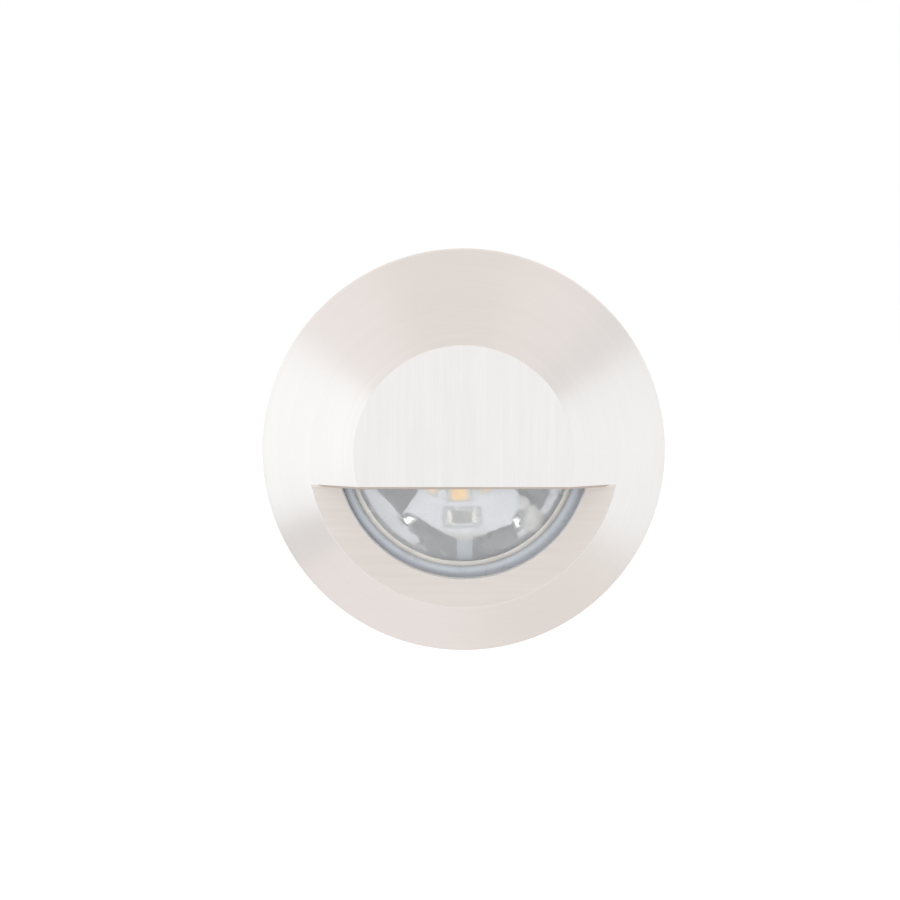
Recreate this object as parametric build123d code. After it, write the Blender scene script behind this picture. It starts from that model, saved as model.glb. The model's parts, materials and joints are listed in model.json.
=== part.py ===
"""Round step light with an eyelid hood, for a 50 mm hole in a wall or riser.

Millimetres, +Z up. The light's axis runs along Y: the room is on the -Y side, the wall's surface
is y = 0, and the body reaches into the wall along +Y. The origin is the centre of the wall seat.
Depths below are y values, so a smaller depth lies nearer to the room.
"""

from build123d import *
import math
import os

os.makedirs("parts", exist_ok=True)

# ---------------------------------------------------------------- driving sizes

# Fits that several pieces share
STATIC_GAP = 0.05  # radial gap between two pieces that don't move on each other
RUNNING_GAP = 0.05  # radial gap between the clip arm and its pin

# Faceplate, from the front view
FACE_RADIUS = 30.0
FLAT_RADIUS = 16.4
CONE_HEIGHT = 11.0
RIM_HEIGHT = 1.0
RIM_CHAMFER = 0.2
RECESS_DEPTH = 5.5  # crescent floor behind the flat top
LID_CUT = 5.06  # lower edge of the lid below the axis
LID_WALL = 1.8
LID_CHAMFER = 0.35
HOOD_LEAN = 3.9  # how far the hood's side wall leans in between floor and ceiling
WINDOW_RADIUS = 18.75
WINDOW_LIP = 1.2
WINDOW_CHAMFER = 0.2

# Seal between faceplate and wall
SEAL_THICKNESS = 1.0
SEAL_PROUD = 0.5
SEAL_WIDTH = 2.9
SEAL_OFFSET = 0.9  # gap from the collar, which leaves room for the edge of the wall's hole
SEAL_POCKET_GAP = 0.1

# Lens and its gasket
LENS_BOSS = 0.8  # height of the bevelled boss in front of the lens's shoulder
LENS_BEVEL_IN = 2.7  # top edge of the bevel, inwards from the window's edge
LENS_BEVEL_OUT = 1.8  # foot of the bevel, inwards from the window's edge
LENS_EDGE_IN = 0.5  # rim of the lens, inwards from the window's edge
GASKET_STEP = 1.05  # how far the gasket's skirt reaches outside the window
GASKET_FRONT = 0.2  # gasket between the faceplate's lip and the lens's shoulder
GASKET_REAR = 0.5  # gasket between the lens and the housing
GASKET_LIP_GAP = 0.15  # slit between the bead and the lens's boss
BEAD_ROOT_DROP = 0.6  # foot of the bead's crown behind the crescent floor
BEAD_CROWN = 0.35

# Housing
COLLAR_SEAT = 1.6  # how deep the collar sits in the faceplate, in front of the seal
COLLAR_REACH = 3.0  # how far the collar reaches into the wall
SPIGOT_STEP = 0.4  # how much slimmer the collar is where it sits in the faceplate
HOUSING_WALL = 1.75
HOUSING_REACH = 34.0  # from the wall's surface to the open rear end
LEDGE_WIDTH = 1.4  # inner ledge that carries the gasket
LEDGE_THICKNESS = 1.6
EDGE_BREAK = 0.3

# Screws of the faceplate, from behind through the collar
FACE_SCREW_COUNT = 3
FACE_SCREW_START = 90.0
FACE_SCREW_LENGTH = 8.0
FACE_SCREW_SHANK = 1.0
FACE_SCREW_HEAD = 1.9
FACE_SCREW_MARGIN = 0.2
FACE_SCREW_SOCKET = 1.3
SCREW_END_ROOM = 0.4
COUNTERSINK_BAND = 0.2  # straight edge of a countersunk head

# Stack behind the lens
SPACER_HEIGHT = 2.6
SPACER_WALL = 1.75
BOARD_THICKNESS = 1.2
PAD_THICKNESS = 0.2
HEAT_SINK_THICKNESS = 5.0
SNAP_RING_THICKNESS = 1.0
SNAP_RING_WIDTH = 2.1
SNAP_RING_BITE = 0.6  # how far the ring stands in the housing's groove
SNAP_RING_GAP = 5.0
SNAP_LUG = 1.5
SNAP_LUG_HOLE = 0.6

# LED board, seen from the front; angles anticlockwise from +X
BOARD_TURN = 0.7  # how the fitted board stands off its nominal turn
SPOKE_ANGLES = (-90.0, 30.0, 150.0)
BAND_ANGLES = (-30.0, 90.0, 210.0)
BOARD_EDGE_GAP = 0.25  # between the spokes' ends and the spacer ring
HUB_MARGIN = 0.35  # board outside the heads of its screws
BAND_SHARE = 0.704  # where the bands end between the hub and the spokes' ends
OPENING_SHARE = 0.26  # where the openings end between the hub and the bands' edge
BAND_HALF_ANGLE = 32.0
BAND_END_WIDTH = 1.15  # the bands' free ends, beyond the slits that part them from the hub
SLIT_HALF_ANGLE = 25.0  # where the slits begin, from the middle of the band
SPOKE_WIDTH = 2.4
OPENING_DEPTH = 5.12  # from the opening's near edge to its far edge
OPENING_INNER_HALF = 1.77
OPENING_OUTER_HALF = 4.43
OPENING_CORNER_OUT = 0.4  # how far the opening's straight sides run on past its rounded far edge
LED_COUNT = 9
LED_RING = 6.5
LED_SHIFT = -0.75  # the whole ring of LEDs stands a little to the left of the hub's centre
LED_LENGTH = 3.5
LED_WIDTH = 2.8
LED_HEIGHT = 0.8
PHOSPHOR_LENGTH = 2.35
PHOSPHOR_WIDTH = 2.0
PHOSPHOR_DEPTH = 0.45
PHOSPHOR_DROP = 0.05
RESISTOR_RING = 10.1
RESISTOR_SHIFT = -0.35  # sideways on its spoke
RESISTOR_LENGTH = 2.9
RESISTOR_WIDTH = 1.8
RESISTOR_HEIGHT = 0.6
TERMINAL_LENGTH = 0.65
TERMINAL_HEIGHT = 0.66
SOLDER_IN = 2.6  # inwards from the bands' edge
SOLDER_SPREAD = 39.5  # either side of the lowest spoke
SOLDER_RADIUS = 1.25
SOLDER_WAIST = 0.7
SOLDER_TIP = 0.4
SOLDER_HEIGHT = 0.9
BOARD_SCREW_ROOM = 1.55  # between the LEDs and the screws' heads
BOARD_SCREW_ANGLES = (54.0, 126.0)

# Small pan-head screws of both boards
SMALL_SCREW_SHANK = 0.95
SMALL_SCREW_HEAD = 1.75
SMALL_SCREW_HEAD_HEIGHT = 1.1
SMALL_SCREW_SLOT = 0.5
SMALL_SCREW_SLOT_SHARE = 0.62  # length of the cross's arms as a share of the head
BOARD_SCREW_LENGTH = 4.6
DRIVER_SCREW_LENGTH = 3.2

# Leads between the driver and the LED board
LEAD_RADIUS = 0.6
LEAD_HOLE_GAP = 0.15
LEAD_BEND_SHARE = 0.45  # bend radius as a share of the shorter run
LEAD_TURN_DEPTH = 14.0

# Driver
TONGUE_WIDTH = 12.0
TONGUE_LENGTH = 8.4
TONGUE_THICKNESS = 2.6
DRIVER_WIDTH = 26.0
DRIVER_LENGTH = 20.0
DRIVER_THICKNESS = 1.2
DRIVER_START = 1.4  # gap between the heat sink and the driver board
DRIVER_LEVEL = -0.6  # underside of the driver board
DRIVER_SCREW_SPREAD = 4.0
DRIVER_SCREW_IN = 3.0
INDUCTOR = (7.0, 7.0, 4.5)
INDUCTOR_CORNER = 1.0
INDUCTOR_CORE = 1.85
INDUCTOR_GROOVE = 0.5
INDUCTOR_AT = (8.8, 9.0)
CAPACITOR_RADIUS = 3.15
CAPACITOR_HEIGHT = 7.7
CAPACITOR_AT = (-8.6, 7.4)
CAPACITOR_FOOT = 1.0
RECTIFIER = (4.0, 4.8, 2.5)
RECTIFIER_AT = (-8.8, 14.6)
CHIP = (4.9, 3.9, 1.5)
CHIP_AT = (0.2, 7.8)
CHIP_BODY_SHARE = (0.9, 0.8)  # moulded body as a share of the size over its legs
CHIP_LIFT_SHARE = 0.125
CHIP_LEG_COUNT = 4
CHIP_LEG_SHARE = 0.11
CHIP_PART = (2.0, 1.25, 0.7)
CHIP_PART_AT = ((-3.0, 11.0), (0.2, 11.0), (8.8, 14.6), (8.8, 17.0))
TERMINAL_BLOCK = (10.0, 7.0, 8.0)
TERMINAL_BLOCK_AT = (0.0, 16.0)
TERMINAL_PITCH = 5.0
TERMINAL_ENTRY = 1.4
TERMINAL_ENTRY_DEPTH = 4.5
TERMINAL_SCREW = 1.5
TERMINAL_SCREW_HEIGHT = 2.2

# Rear cap and its ring
CAP_THICKNESS = 4.0
CAP_SPIGOT = 5.0
CAP_SPIGOT_WALL = 2.85
CAP_NOTCH_COUNT = 4
CAP_NOTCH = (3.0, 1.5, 2.0)  # across, into the rim, along the axis
RING_SECTION = 0.57
RING_GROOVE_WIDTH = 1.4
RING_GROOVE_AT = 1.4  # from the rear end of the housing to the groove

# Cable gland
GLAND_THREAD = 6.2
GLAND_THREAD_INNER = 1.0  # how far the thread stands out inside the cap
GLAND_BORE = 3.6
GLAND_HEX = 7.5  # half the width across flats
GLAND_HEX_LENGTH = 4.5
GLAND_WASHER_OUTER = 8.0
GLAND_WASHER_THICKNESS = 0.8
GLAND_NECK = 5.9
GLAND_NECK_LENGTH = 6.2
GLAND_SEAL_BORE = 3.25
GLAND_SEAL_WALL = 1.6
GLAND_SEAL_LENGTH = 5.5
GLAND_SEAL_START = 1.2  # from the hexagon's rear face to the seal
GLAND_NUT_START = 0.3
GLAND_NUT_HEX_LENGTH = 5.8
GLAND_DOME = 7.1
GLAND_DOME_TIP = 5.2
GLAND_DOME_LENGTH = 3.6

# Retaining clips
CLIP_PAD_RISE = 0.2
CLIP_PAD_HALF = 4.6
CLIP_PAD_FRONT = 12.5
CLIP_PAD_LENGTH = 11.0
CLIP_SHEET = 0.6
CLIP_BASE_FRONT = 13.9
CLIP_BASE_LENGTH = 9.1
CLIP_NOTCH_BACK = 16.3
CLIP_EAR_INNER = 3.2
CLIP_NOTCH_HALF = 3.05
CLIP_PIVOT_DEPTH = 15.0
CLIP_ARM_LENGTH = 12.0
CLIP_ARM_HALF = 2.9
CLIP_REST_ANGLE = -60.0  # direction of the arm from +X towards +Y, free of the wall
CLIP_HEEL = 0.27
CLIP_CHEEK_LENGTH = 5.0
PIN_RADIUS = 0.5
PIN_OVERHANG = 0.3
RIVET_SHANK = 0.75
RIVET_HEAD = 1.2
RIVET_HEAD_HEIGHT = 0.4
RIVET_DEPTH = 1.2
RIVET_DEPTHS = (18.4, 21.2)
SPRING_WIRE = 0.5
SPRING_COIL_GAP = 0.1  # between the coil's inside and the pin
SPRING_TURNS = 3
SPRING_SEAT_GAP = 0.05
SPRING_HALF_WIDTH = 1.94
SPRING_FIXED_LEG = 5.0
SPRING_ARM_LEG = 6.5

# ---------------------------------------------------------------- depths and radii that follow

FACE_BACK = -SEAL_PROUD
SEAL_SEAT = -SEAL_THICKNESS
COLLAR_FRONT = SEAL_SEAT - COLLAR_SEAT
RIM_FRONT = FACE_BACK - RIM_HEIGHT
FLAT_FRONT = RIM_FRONT - CONE_HEIGHT
FLOOR = FLAT_FRONT + RECESS_DEPTH
HOOD_CEILING = FLAT_FRONT + LID_WALL
LIP_BACK = FLOOR + WINDOW_LIP
LENS_SHOULDER = LIP_BACK + GASKET_FRONT
LENS_FRONT = LENS_SHOULDER - LENS_BOSS
LENS_BACK = COLLAR_FRONT - GASKET_REAR
LEDGE_BACK = COLLAR_FRONT + LEDGE_THICKNESS
HEAT_FRONT = LEDGE_BACK + SPACER_HEIGHT
BOARD_BACK = HEAT_FRONT - PAD_THICKNESS
BOARD_FRONT = BOARD_BACK - BOARD_THICKNESS
HEAT_BACK = HEAT_FRONT + HEAT_SINK_THICKNESS
DRIVER_FRONT = HEAT_BACK + DRIVER_START
DRIVER_TOP = DRIVER_LEVEL + DRIVER_THICKNESS
CAP_BACK = HOUSING_REACH + CAP_THICKNESS
GLAND_HEX_FRONT = CAP_BACK + GLAND_WASHER_THICKNESS
GLAND_HEX_BACK = GLAND_HEX_FRONT + GLAND_HEX_LENGTH
GLAND_SEAL_FRONT = GLAND_HEX_BACK + GLAND_SEAL_START
GLAND_SEAL_BACK = GLAND_SEAL_FRONT + GLAND_SEAL_LENGTH
NUT_FRONT = GLAND_HEX_BACK + GLAND_NUT_START
NUT_HEX_BACK = NUT_FRONT + GLAND_NUT_HEX_LENGTH
NUT_BACK = NUT_HEX_BACK + GLAND_DOME_LENGTH

BORE_RADIUS = WINDOW_RADIUS
TUBE_RADIUS = BORE_RADIUS + HOUSING_WALL
FACE_SCREW_CIRCLE = TUBE_RADIUS + FACE_SCREW_HEAD + FACE_SCREW_MARGIN
COLLAR_RADIUS = FACE_SCREW_CIRCLE + FACE_SCREW_HEAD + FACE_SCREW_MARGIN
SPIGOT_RADIUS = COLLAR_RADIUS - SPIGOT_STEP
SEAL_INNER = COLLAR_RADIUS + SEAL_OFFSET
SEAL_OUTER = SEAL_INNER + SEAL_WIDTH
LENS_RADIUS = WINDOW_RADIUS - LENS_EDGE_IN
LENS_BEVEL_TOP = WINDOW_RADIUS - LENS_BEVEL_IN
LENS_BEVEL_FOOT = WINDOW_RADIUS - LENS_BEVEL_OUT
GASKET_OUTER = WINDOW_RADIUS + GASKET_STEP
LEDGE_RADIUS = BORE_RADIUS - LEDGE_WIDTH
SLIP_RADIUS = BORE_RADIUS - STATIC_GAP
SPACER_INNER = SLIP_RADIUS - SPACER_WALL
BOARD_RADIUS = SPACER_INNER - BOARD_EDGE_GAP
BOARD_SCREW_RING = LED_RING + LED_WIDTH / 2 + BOARD_SCREW_ROOM + SMALL_SCREW_HEAD
HUB_RADIUS = BOARD_SCREW_RING + SMALL_SCREW_HEAD + HUB_MARGIN
BAND_RADIUS = HUB_RADIUS + BAND_SHARE * (BOARD_RADIUS - HUB_RADIUS)
OPENING_OUTER = HUB_RADIUS + OPENING_SHARE * (BAND_RADIUS - HUB_RADIUS)
OPENING_INNER = OPENING_OUTER - OPENING_DEPTH
OPENING_OUTER_AT = OPENING_OUTER + OPENING_CORNER_OUT
SOLDER_RING = BAND_RADIUS - SOLDER_IN
GROOVE_RADIUS = BORE_RADIUS + SNAP_RING_BITE + STATIC_GAP

PAD_TOP = TUBE_RADIUS + CLIP_PAD_RISE
BASE_TOP = PAD_TOP + CLIP_SHEET
COIL_MEAN = PIN_RADIUS + SPRING_COIL_GAP + SPRING_WIRE / 2
COIL_OUTER = COIL_MEAN + SPRING_WIRE / 2
PIVOT_X = BASE_TOP + COIL_OUTER + SPRING_SEAT_GAP
ARM_FACE = COIL_OUTER + SPRING_SEAT_GAP
CHEEK_RADIUS = COIL_OUTER
RECESS_SPAN = 2 * FACE_RADIUS


# ---------------------------------------------------------------- shapes that several pieces use


def turned(*corners):
    """Solid turned about the light's axis from a profile of (radius, depth) corners."""
    return revolve(make_face(Polyline(*corners, close=True)), Axis.Y)


def ring(inner, outer, front, back):
    """Plain ring about the light's axis."""
    return turned((inner, front), (outer, front), (outer, back), (inner, back))


def facing(depth):
    """Drawing plane at a depth, seen from the room, with x to the right and z up."""
    return Plane(origin=(0, depth, 0), x_dir=(1, 0, 0), z_dir=(0, -1, 0))


def slab(outline, front, back):
    """An outline seen from the room, given thickness between two depths."""
    return extrude(facing(back) * outline, back - front)


def peg(radius, front, back, x=0.0, z=0.0):
    """Round peg parallel to the light's axis."""
    return slab(Pos(x, z) * Circle(radius), front, back)


def side_peg(radius, inner, outer, depth, z):
    """Round peg along X, from one x to the other."""
    return Pos((inner + outer) / 2, depth, z) * Rot(0, 90, 0) * Cylinder(radius, outer - inner)


def post(radius, low, high, x, depth):
    """Round post along Z."""
    return Pos(x, depth, (low + high) / 2) * Cylinder(radius, high - low)


def block(x_span, y_span, z_span):
    """Box between pairs of coordinates."""
    spans = (x_span, y_span, z_span)
    middle = [(low + high) / 2 for low, high in spans]
    return Pos(*middle) * Box(*[high - low for low, high in spans])


def around(radius, angle):
    """Point at a radius and an angle from +X, as seen from the room."""
    turn = math.radians(angle)
    return radius * math.cos(turn), radius * math.sin(turn)


def group(solids):
    """Separate solids under one name."""
    return Compound(children=list(solids))


# ---------------------------------------------------------------- faceplate and seal


def face_screw_places():
    """Centres of the faceplate's screws, seen from the room."""
    step = 360 / FACE_SCREW_COUNT
    return [around(FACE_SCREW_CIRCLE, FACE_SCREW_START + step * i) for i in range(FACE_SCREW_COUNT)]


def make_faceplate():
    """Coned plate with the hood hollowed from behind and the crescent milled from the front."""
    cone_run = (FACE_RADIUS - FLAT_RADIUS) / CONE_HEIGHT
    plate = turned(
        (0, FLAT_FRONT),
        (FLAT_RADIUS, FLAT_FRONT),
        (FACE_RADIUS - RIM_CHAMFER * cone_run, RIM_FRONT - RIM_CHAMFER),
        (FACE_RADIUS, RIM_FRONT + RIM_CHAMFER),
        (FACE_RADIUS, FACE_BACK),
        (SEAL_OUTER + SEAL_POCKET_GAP, FACE_BACK),
        (SEAL_OUTER + SEAL_POCKET_GAP, SEAL_SEAT),
        (SPIGOT_RADIUS + STATIC_GAP, SEAL_SEAT),
        (SPIGOT_RADIUS + STATIC_GAP, COLLAR_FRONT),
        (GASKET_OUTER + STATIC_GAP, COLLAR_FRONT),
        (GASKET_OUTER + STATIC_GAP, LIP_BACK),
        (WINDOW_RADIUS, LIP_BACK),
        (WINDOW_RADIUS, FLOOR),
        (WINDOW_RADIUS - HOOD_LEAN, HOOD_CEILING),
        (0, HOOD_CEILING),
    )
    below_lid = (-RECESS_SPAN, -LID_CUT)
    across = (-RECESS_SPAN, RECESS_SPAN)
    plate -= block(across, (FLAT_FRONT - RIM_HEIGHT, FLOOR), below_lid)

    lid_edges = [
        edge
        for edge in plate.edges().filter_by_position(Axis.Z, -LID_CUT - 0.01, -LID_CUT + 0.01)
        if abs(edge.position_at(0.5).Y - FLAT_FRONT) < 0.01
        or (abs(edge.position_at(0.5).X) > FLAT_RADIUS and edge.position_at(0.5).Y < FLOOR - 0.5)
    ]
    plate = chamfer(lid_edges, LID_CHAMFER)

    broken = turned(
        (WINDOW_RADIUS - WINDOW_CHAMFER, FLOOR + 2 * WINDOW_CHAMFER),
        (WINDOW_RADIUS + 2 * WINDOW_CHAMFER, FLOOR - WINDOW_CHAMFER),
        (WINDOW_RADIUS - WINDOW_CHAMFER, FLOOR - WINDOW_CHAMFER),
    )
    plate -= broken & block(across, (FLAT_FRONT, LIP_BACK), below_lid)

    tip = COLLAR_REACH - FACE_SCREW_LENGTH
    for x, z in face_screw_places():
        plate -= peg(FACE_SCREW_SHANK, tip - SCREW_END_ROOM, COLLAR_FRONT, x, z)
    return plate


def make_wall_seal():
    """Flat foam ring that seats on the wall."""
    return ring(SEAL_INNER, SEAL_OUTER, SEAL_SEAT, 0)


# ---------------------------------------------------------------- lens and gasket


def make_lens():
    """Glass disc with a bevelled boss that stands in the window."""
    return turned(
        (0, LENS_FRONT),
        (LENS_BEVEL_TOP, LENS_FRONT),
        (LENS_BEVEL_FOOT, LENS_SHOULDER),
        (LENS_RADIUS, LENS_SHOULDER),
        (LENS_RADIUS, LENS_BACK),
        (0, LENS_BACK),
    )


def make_gasket():
    """Channel round the lens's rim, with a rounded bead that fills the window's edge."""
    inner = LENS_BEVEL_FOOT + GASKET_LIP_GAP
    outer = WINDOW_RADIUS - STATIC_GAP
    root = FLOOR + BEAD_ROOT_DROP
    crown = ThreePointArc(
        (inner, root), ((inner + outer) / 2, root - BEAD_CROWN), (outer, root)
    )
    channel = Polyline(
        (outer, root),
        (outer, LIP_BACK),
        (GASKET_OUTER, LIP_BACK),
        (GASKET_OUTER, COLLAR_FRONT),
        (LEDGE_RADIUS, COLLAR_FRONT),
        (LEDGE_RADIUS, LENS_BACK),
        (LENS_RADIUS, LENS_BACK),
        (LENS_RADIUS, LENS_SHOULDER),
        (inner, LENS_SHOULDER),
        (inner, root),
    )
    return revolve(make_face(crown + channel), Axis.Y)


# ---------------------------------------------------------------- housing and its screws


def countersunk_screw(shank, head, length, socket):
    """Countersunk screw whose head is flush with y = 0 and whose shank points to the room."""
    cone = COUNTERSINK_BAND + head - shank
    body = turned(
        (0, 0), (head, 0), (head, -COUNTERSINK_BAND), (shank, -cone), (shank, -length), (0, -length)
    )
    drive = RegularPolygon(socket / 2, 6, major_radius=False)
    return body - slab(drive, -cone, 0)


def countersunk_seat(shank, head, length, gap):
    """Hole that takes a countersunk screw, with a gap all round."""
    cone = COUNTERSINK_BAND + head - shank
    return turned(
        (0, 0),
        (head + gap, 0),
        (head + gap, -COUNTERSINK_BAND),
        (shank + gap, -cone),
        (shank + gap, -length),
        (0, -length),
    )


def make_housing():
    """Tube with a collar in front, an inner ledge, a snap-ring groove and two clip pads."""
    tube = turned(
        (LEDGE_RADIUS, COLLAR_FRONT),
        (SPIGOT_RADIUS, COLLAR_FRONT),
        (SPIGOT_RADIUS, SEAL_SEAT),
        (COLLAR_RADIUS, SEAL_SEAT),
        (COLLAR_RADIUS, COLLAR_REACH),
        (TUBE_RADIUS, COLLAR_REACH),
        (TUBE_RADIUS, HOUSING_REACH - EDGE_BREAK),
        (TUBE_RADIUS - EDGE_BREAK, HOUSING_REACH),
        (BORE_RADIUS, HOUSING_REACH),
        (BORE_RADIUS, LEDGE_BACK),
        (LEDGE_RADIUS, LEDGE_BACK),
    )
    tube -= ring(LEDGE_RADIUS, GROOVE_RADIUS, HEAT_BACK, HEAT_BACK + SNAP_RING_THICKNESS + STATIC_GAP)
    seat = countersunk_seat(
        FACE_SCREW_SHANK, FACE_SCREW_HEAD, COLLAR_REACH - COLLAR_FRONT + STATIC_GAP, STATIC_GAP
    )
    for x, z in face_screw_places():
        tube -= Pos(x, COLLAR_REACH, z) * seat
    pad = block(
        (BORE_RADIUS + HOUSING_WALL / 4, PAD_TOP),
        (CLIP_PAD_FRONT, CLIP_PAD_FRONT + CLIP_PAD_LENGTH),
        (-CLIP_PAD_HALF, CLIP_PAD_HALF),
    )
    for depth in RIVET_DEPTHS:
        pad -= side_peg(RIVET_SHANK, PAD_TOP - RIVET_DEPTH, PAD_TOP, depth, 0)
        tube -= side_peg(RIVET_SHANK, PAD_TOP - RIVET_DEPTH, PAD_TOP, depth, 0)
        tube -= side_peg(RIVET_SHANK, -PAD_TOP, RIVET_DEPTH - PAD_TOP, depth, 0)
    return tube + pad + mirror(pad, about=Plane.YZ)


def make_face_screws():
    """Three countersunk screws that pull the faceplate onto the collar."""
    screw = countersunk_screw(
        FACE_SCREW_SHANK - STATIC_GAP, FACE_SCREW_HEAD, FACE_SCREW_LENGTH, FACE_SCREW_SOCKET
    )
    return group(Pos(x, COLLAR_REACH, z) * screw for x, z in face_screw_places())


# ---------------------------------------------------------------- LED board and its parts


def on_board(outline, radius, angle):
    """An outline drawn at the foot of the board, moved to a radius and turned to an angle."""
    return Rot(0, 0, angle + 90 + BOARD_TURN) * Pos(0, -radius) * outline


def on_led_ring(outline, angle):
    """An outline drawn for the lowest LED, moved to the LED that is at an angle."""
    ring = Rot(0, 0, BOARD_TURN) * Pos(LED_SHIFT, 0) * Rot(0, 0, angle + 90)
    return ring * Pos(0, -LED_RING) * outline


def resistor_outline(outline, angle):
    """An outline drawn about a resistor's middle, moved to its spoke."""
    return on_board(Pos(RESISTOR_SHIFT, 0) * outline, RESISTOR_RING, angle)


def solder_places():
    """Centres of the two solder joints, seen from the room."""
    foot = SPOKE_ANGLES[0] + BOARD_TURN
    return [around(SOLDER_RING, foot + side * SOLDER_SPREAD) for side in (-1, 1)]


def board_screw_places():
    """Centres of the board's screws, seen from the room."""
    return [around(BOARD_SCREW_RING, angle + BOARD_TURN) for angle in BOARD_SCREW_ANGLES]


def wedge(half_angle):
    """Sector about the foot of the board, wider than the board."""
    half = math.radians(half_angle)
    far = 2 * BOARD_RADIUS
    return Polygon(
        (0, 0),
        (-far * math.sin(half), -far * math.cos(half)),
        (far * math.sin(half), -far * math.cos(half)),
        align=None,
    )


def board_outline():
    """Hub, three spokes and three bands, with an opening inside each band."""
    band = wedge(BAND_HALF_ANGLE) & (Circle(BAND_RADIUS) - Circle(HUB_RADIUS - STATIC_GAP))
    slit = Circle(BAND_RADIUS - BAND_END_WIDTH) - Circle(HUB_RADIUS)
    band -= slit - wedge(SLIT_HALF_ANGLE)
    opening = Circle(OPENING_OUTER) & Polygon(
        (-OPENING_INNER_HALF, -OPENING_INNER),
        (OPENING_INNER_HALF, -OPENING_INNER),
        (OPENING_OUTER_HALF, -OPENING_OUTER_AT),
        (-OPENING_OUTER_HALF, -OPENING_OUTER_AT),
        align=None,
    )
    spoke_length = BOARD_RADIUS - LED_RING
    spoke = Pos(0, -LED_RING - spoke_length / 2) * Rectangle(SPOKE_WIDTH, spoke_length)

    outline = Sketch() + Circle(HUB_RADIUS)
    for angle in SPOKE_ANGLES:
        outline += on_board(spoke, 0, angle)
    for angle in BAND_ANGLES:
        outline += on_board(band, 0, angle)
    for angle in BAND_ANGLES:
        outline -= on_board(opening, 0, angle)
    return outline


def lead_holes(front, back):
    """Holes for the two leads."""
    return [peg(LEAD_RADIUS + LEAD_HOLE_GAP, front, back, x, z) for x, z in solder_places()]


def board_screw_holes(front, back):
    """Holes for the two board screws."""
    radius = SMALL_SCREW_SHANK + STATIC_GAP
    return [peg(radius, front, back, x, z) for x, z in board_screw_places()]


def make_led_board():
    """White board that carries the LEDs."""
    board = slab(board_outline(), BOARD_FRONT, BOARD_BACK)
    for hole in lead_holes(BOARD_FRONT, BOARD_BACK) + board_screw_holes(BOARD_FRONT, BOARD_BACK):
        board -= hole
    return board


def make_thermal_pad():
    """Soft sheet between the board and the heat sink."""
    pad = slab(Circle(BOARD_RADIUS), BOARD_BACK, HEAT_FRONT)
    for hole in lead_holes(BOARD_BACK, HEAT_FRONT) + board_screw_holes(BOARD_BACK, HEAT_FRONT):
        pad -= hole
    return pad


def led_angles():
    """Directions of the LEDs, the first one straight down."""
    return [SPOKE_ANGLES[0] + 360 / LED_COUNT * i for i in range(LED_COUNT)]


def make_led_bodies():
    """White packages, each with a pocket for its fill."""
    top = BOARD_FRONT - LED_HEIGHT
    bodies = []
    for angle in led_angles():
        body = slab(on_led_ring(Rectangle(LED_LENGTH, LED_WIDTH), angle), top, BOARD_FRONT)
        pocket = on_led_ring(Rectangle(PHOSPHOR_LENGTH, PHOSPHOR_WIDTH), angle)
        bodies.append(body - slab(pocket, top, top + PHOSPHOR_DEPTH))
    return group(bodies)


def make_led_phosphors():
    """The fill in each LED's pocket, a little below its rim."""
    top = BOARD_FRONT - LED_HEIGHT
    window = Rectangle(PHOSPHOR_LENGTH, PHOSPHOR_WIDTH)
    return group(
        slab(on_led_ring(window, angle), top + PHOSPHOR_DROP, top + PHOSPHOR_DEPTH)
        for angle in led_angles()
    )


def make_resistor_bodies():
    """One chip resistor at the root of each spoke."""
    chip = Rectangle(RESISTOR_LENGTH, RESISTOR_WIDTH)
    return group(
        slab(resistor_outline(chip, angle), BOARD_FRONT - RESISTOR_HEIGHT, BOARD_FRONT)
        for angle in SPOKE_ANGLES
    )


def make_resistor_terminals():
    """The tinned ends of the resistors."""
    offset = (RESISTOR_LENGTH + TERMINAL_LENGTH) / 2
    top = BOARD_FRONT - TERMINAL_HEIGHT
    ends = []
    for angle in SPOKE_ANGLES:
        for side in (-1, 1):
            end = Pos(side * offset, 0) * Rectangle(TERMINAL_LENGTH, RESISTOR_WIDTH)
            ends.append(slab(resistor_outline(end, angle), top, BOARD_FRONT))
    return group(ends)


def make_solder_joints():
    """A small mound of solder over the end of each lead."""
    mound = revolve(
        make_face(
            ThreePointArc(
                (SOLDER_RADIUS, 0), (SOLDER_WAIST, -SOLDER_HEIGHT / 3), (SOLDER_TIP, -SOLDER_HEIGHT)
            )
            + Polyline((SOLDER_TIP, -SOLDER_HEIGHT), (0, -SOLDER_HEIGHT), (0, 0), (SOLDER_RADIUS, 0))
        ),
        Axis.Y,
    )
    return group(Pos(x, BOARD_FRONT, z) * mound for x, z in solder_places())


def pan_screw(length):
    """Pan-head screw seated on y = 0, its shank along +Y."""
    crown = SMALL_SCREW_HEAD_HEIGHT
    body = turned(
        (0, -crown),
        (SMALL_SCREW_HEAD - crown / 3, -crown),
        (SMALL_SCREW_HEAD, -crown / 2),
        (SMALL_SCREW_HEAD, 0),
        (SMALL_SCREW_SHANK, 0),
        (SMALL_SCREW_SHANK, length),
        (0, length),
    )
    half_slot = SMALL_SCREW_SLOT / 2
    reach = SMALL_SCREW_HEAD * SMALL_SCREW_SLOT_SHARE
    for x, z in ((reach, half_slot), (half_slot, reach)):
        body -= block((-x, x), (-crown, -crown / 3), (-z, z))
    return body


def make_board_screws():
    """Two screws through the board into the heat sink."""
    screw = pan_screw(BOARD_SCREW_LENGTH)
    return group(Pos(x, BOARD_FRONT, z) * screw for x, z in board_screw_places())


# ---------------------------------------------------------------- heat sink, rings and leads


def make_spacer_ring():
    """White ring between the housing's ledge and the heat sink."""
    return ring(SPACER_INNER, SLIP_RADIUS, LEDGE_BACK, HEAT_FRONT)


def driver_screw_places():
    """Centres of the driver's screws as (x, depth)."""
    depth = DRIVER_FRONT + DRIVER_SCREW_IN
    return [(side * DRIVER_SCREW_SPREAD, depth) for side in (-1, 1)]


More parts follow.
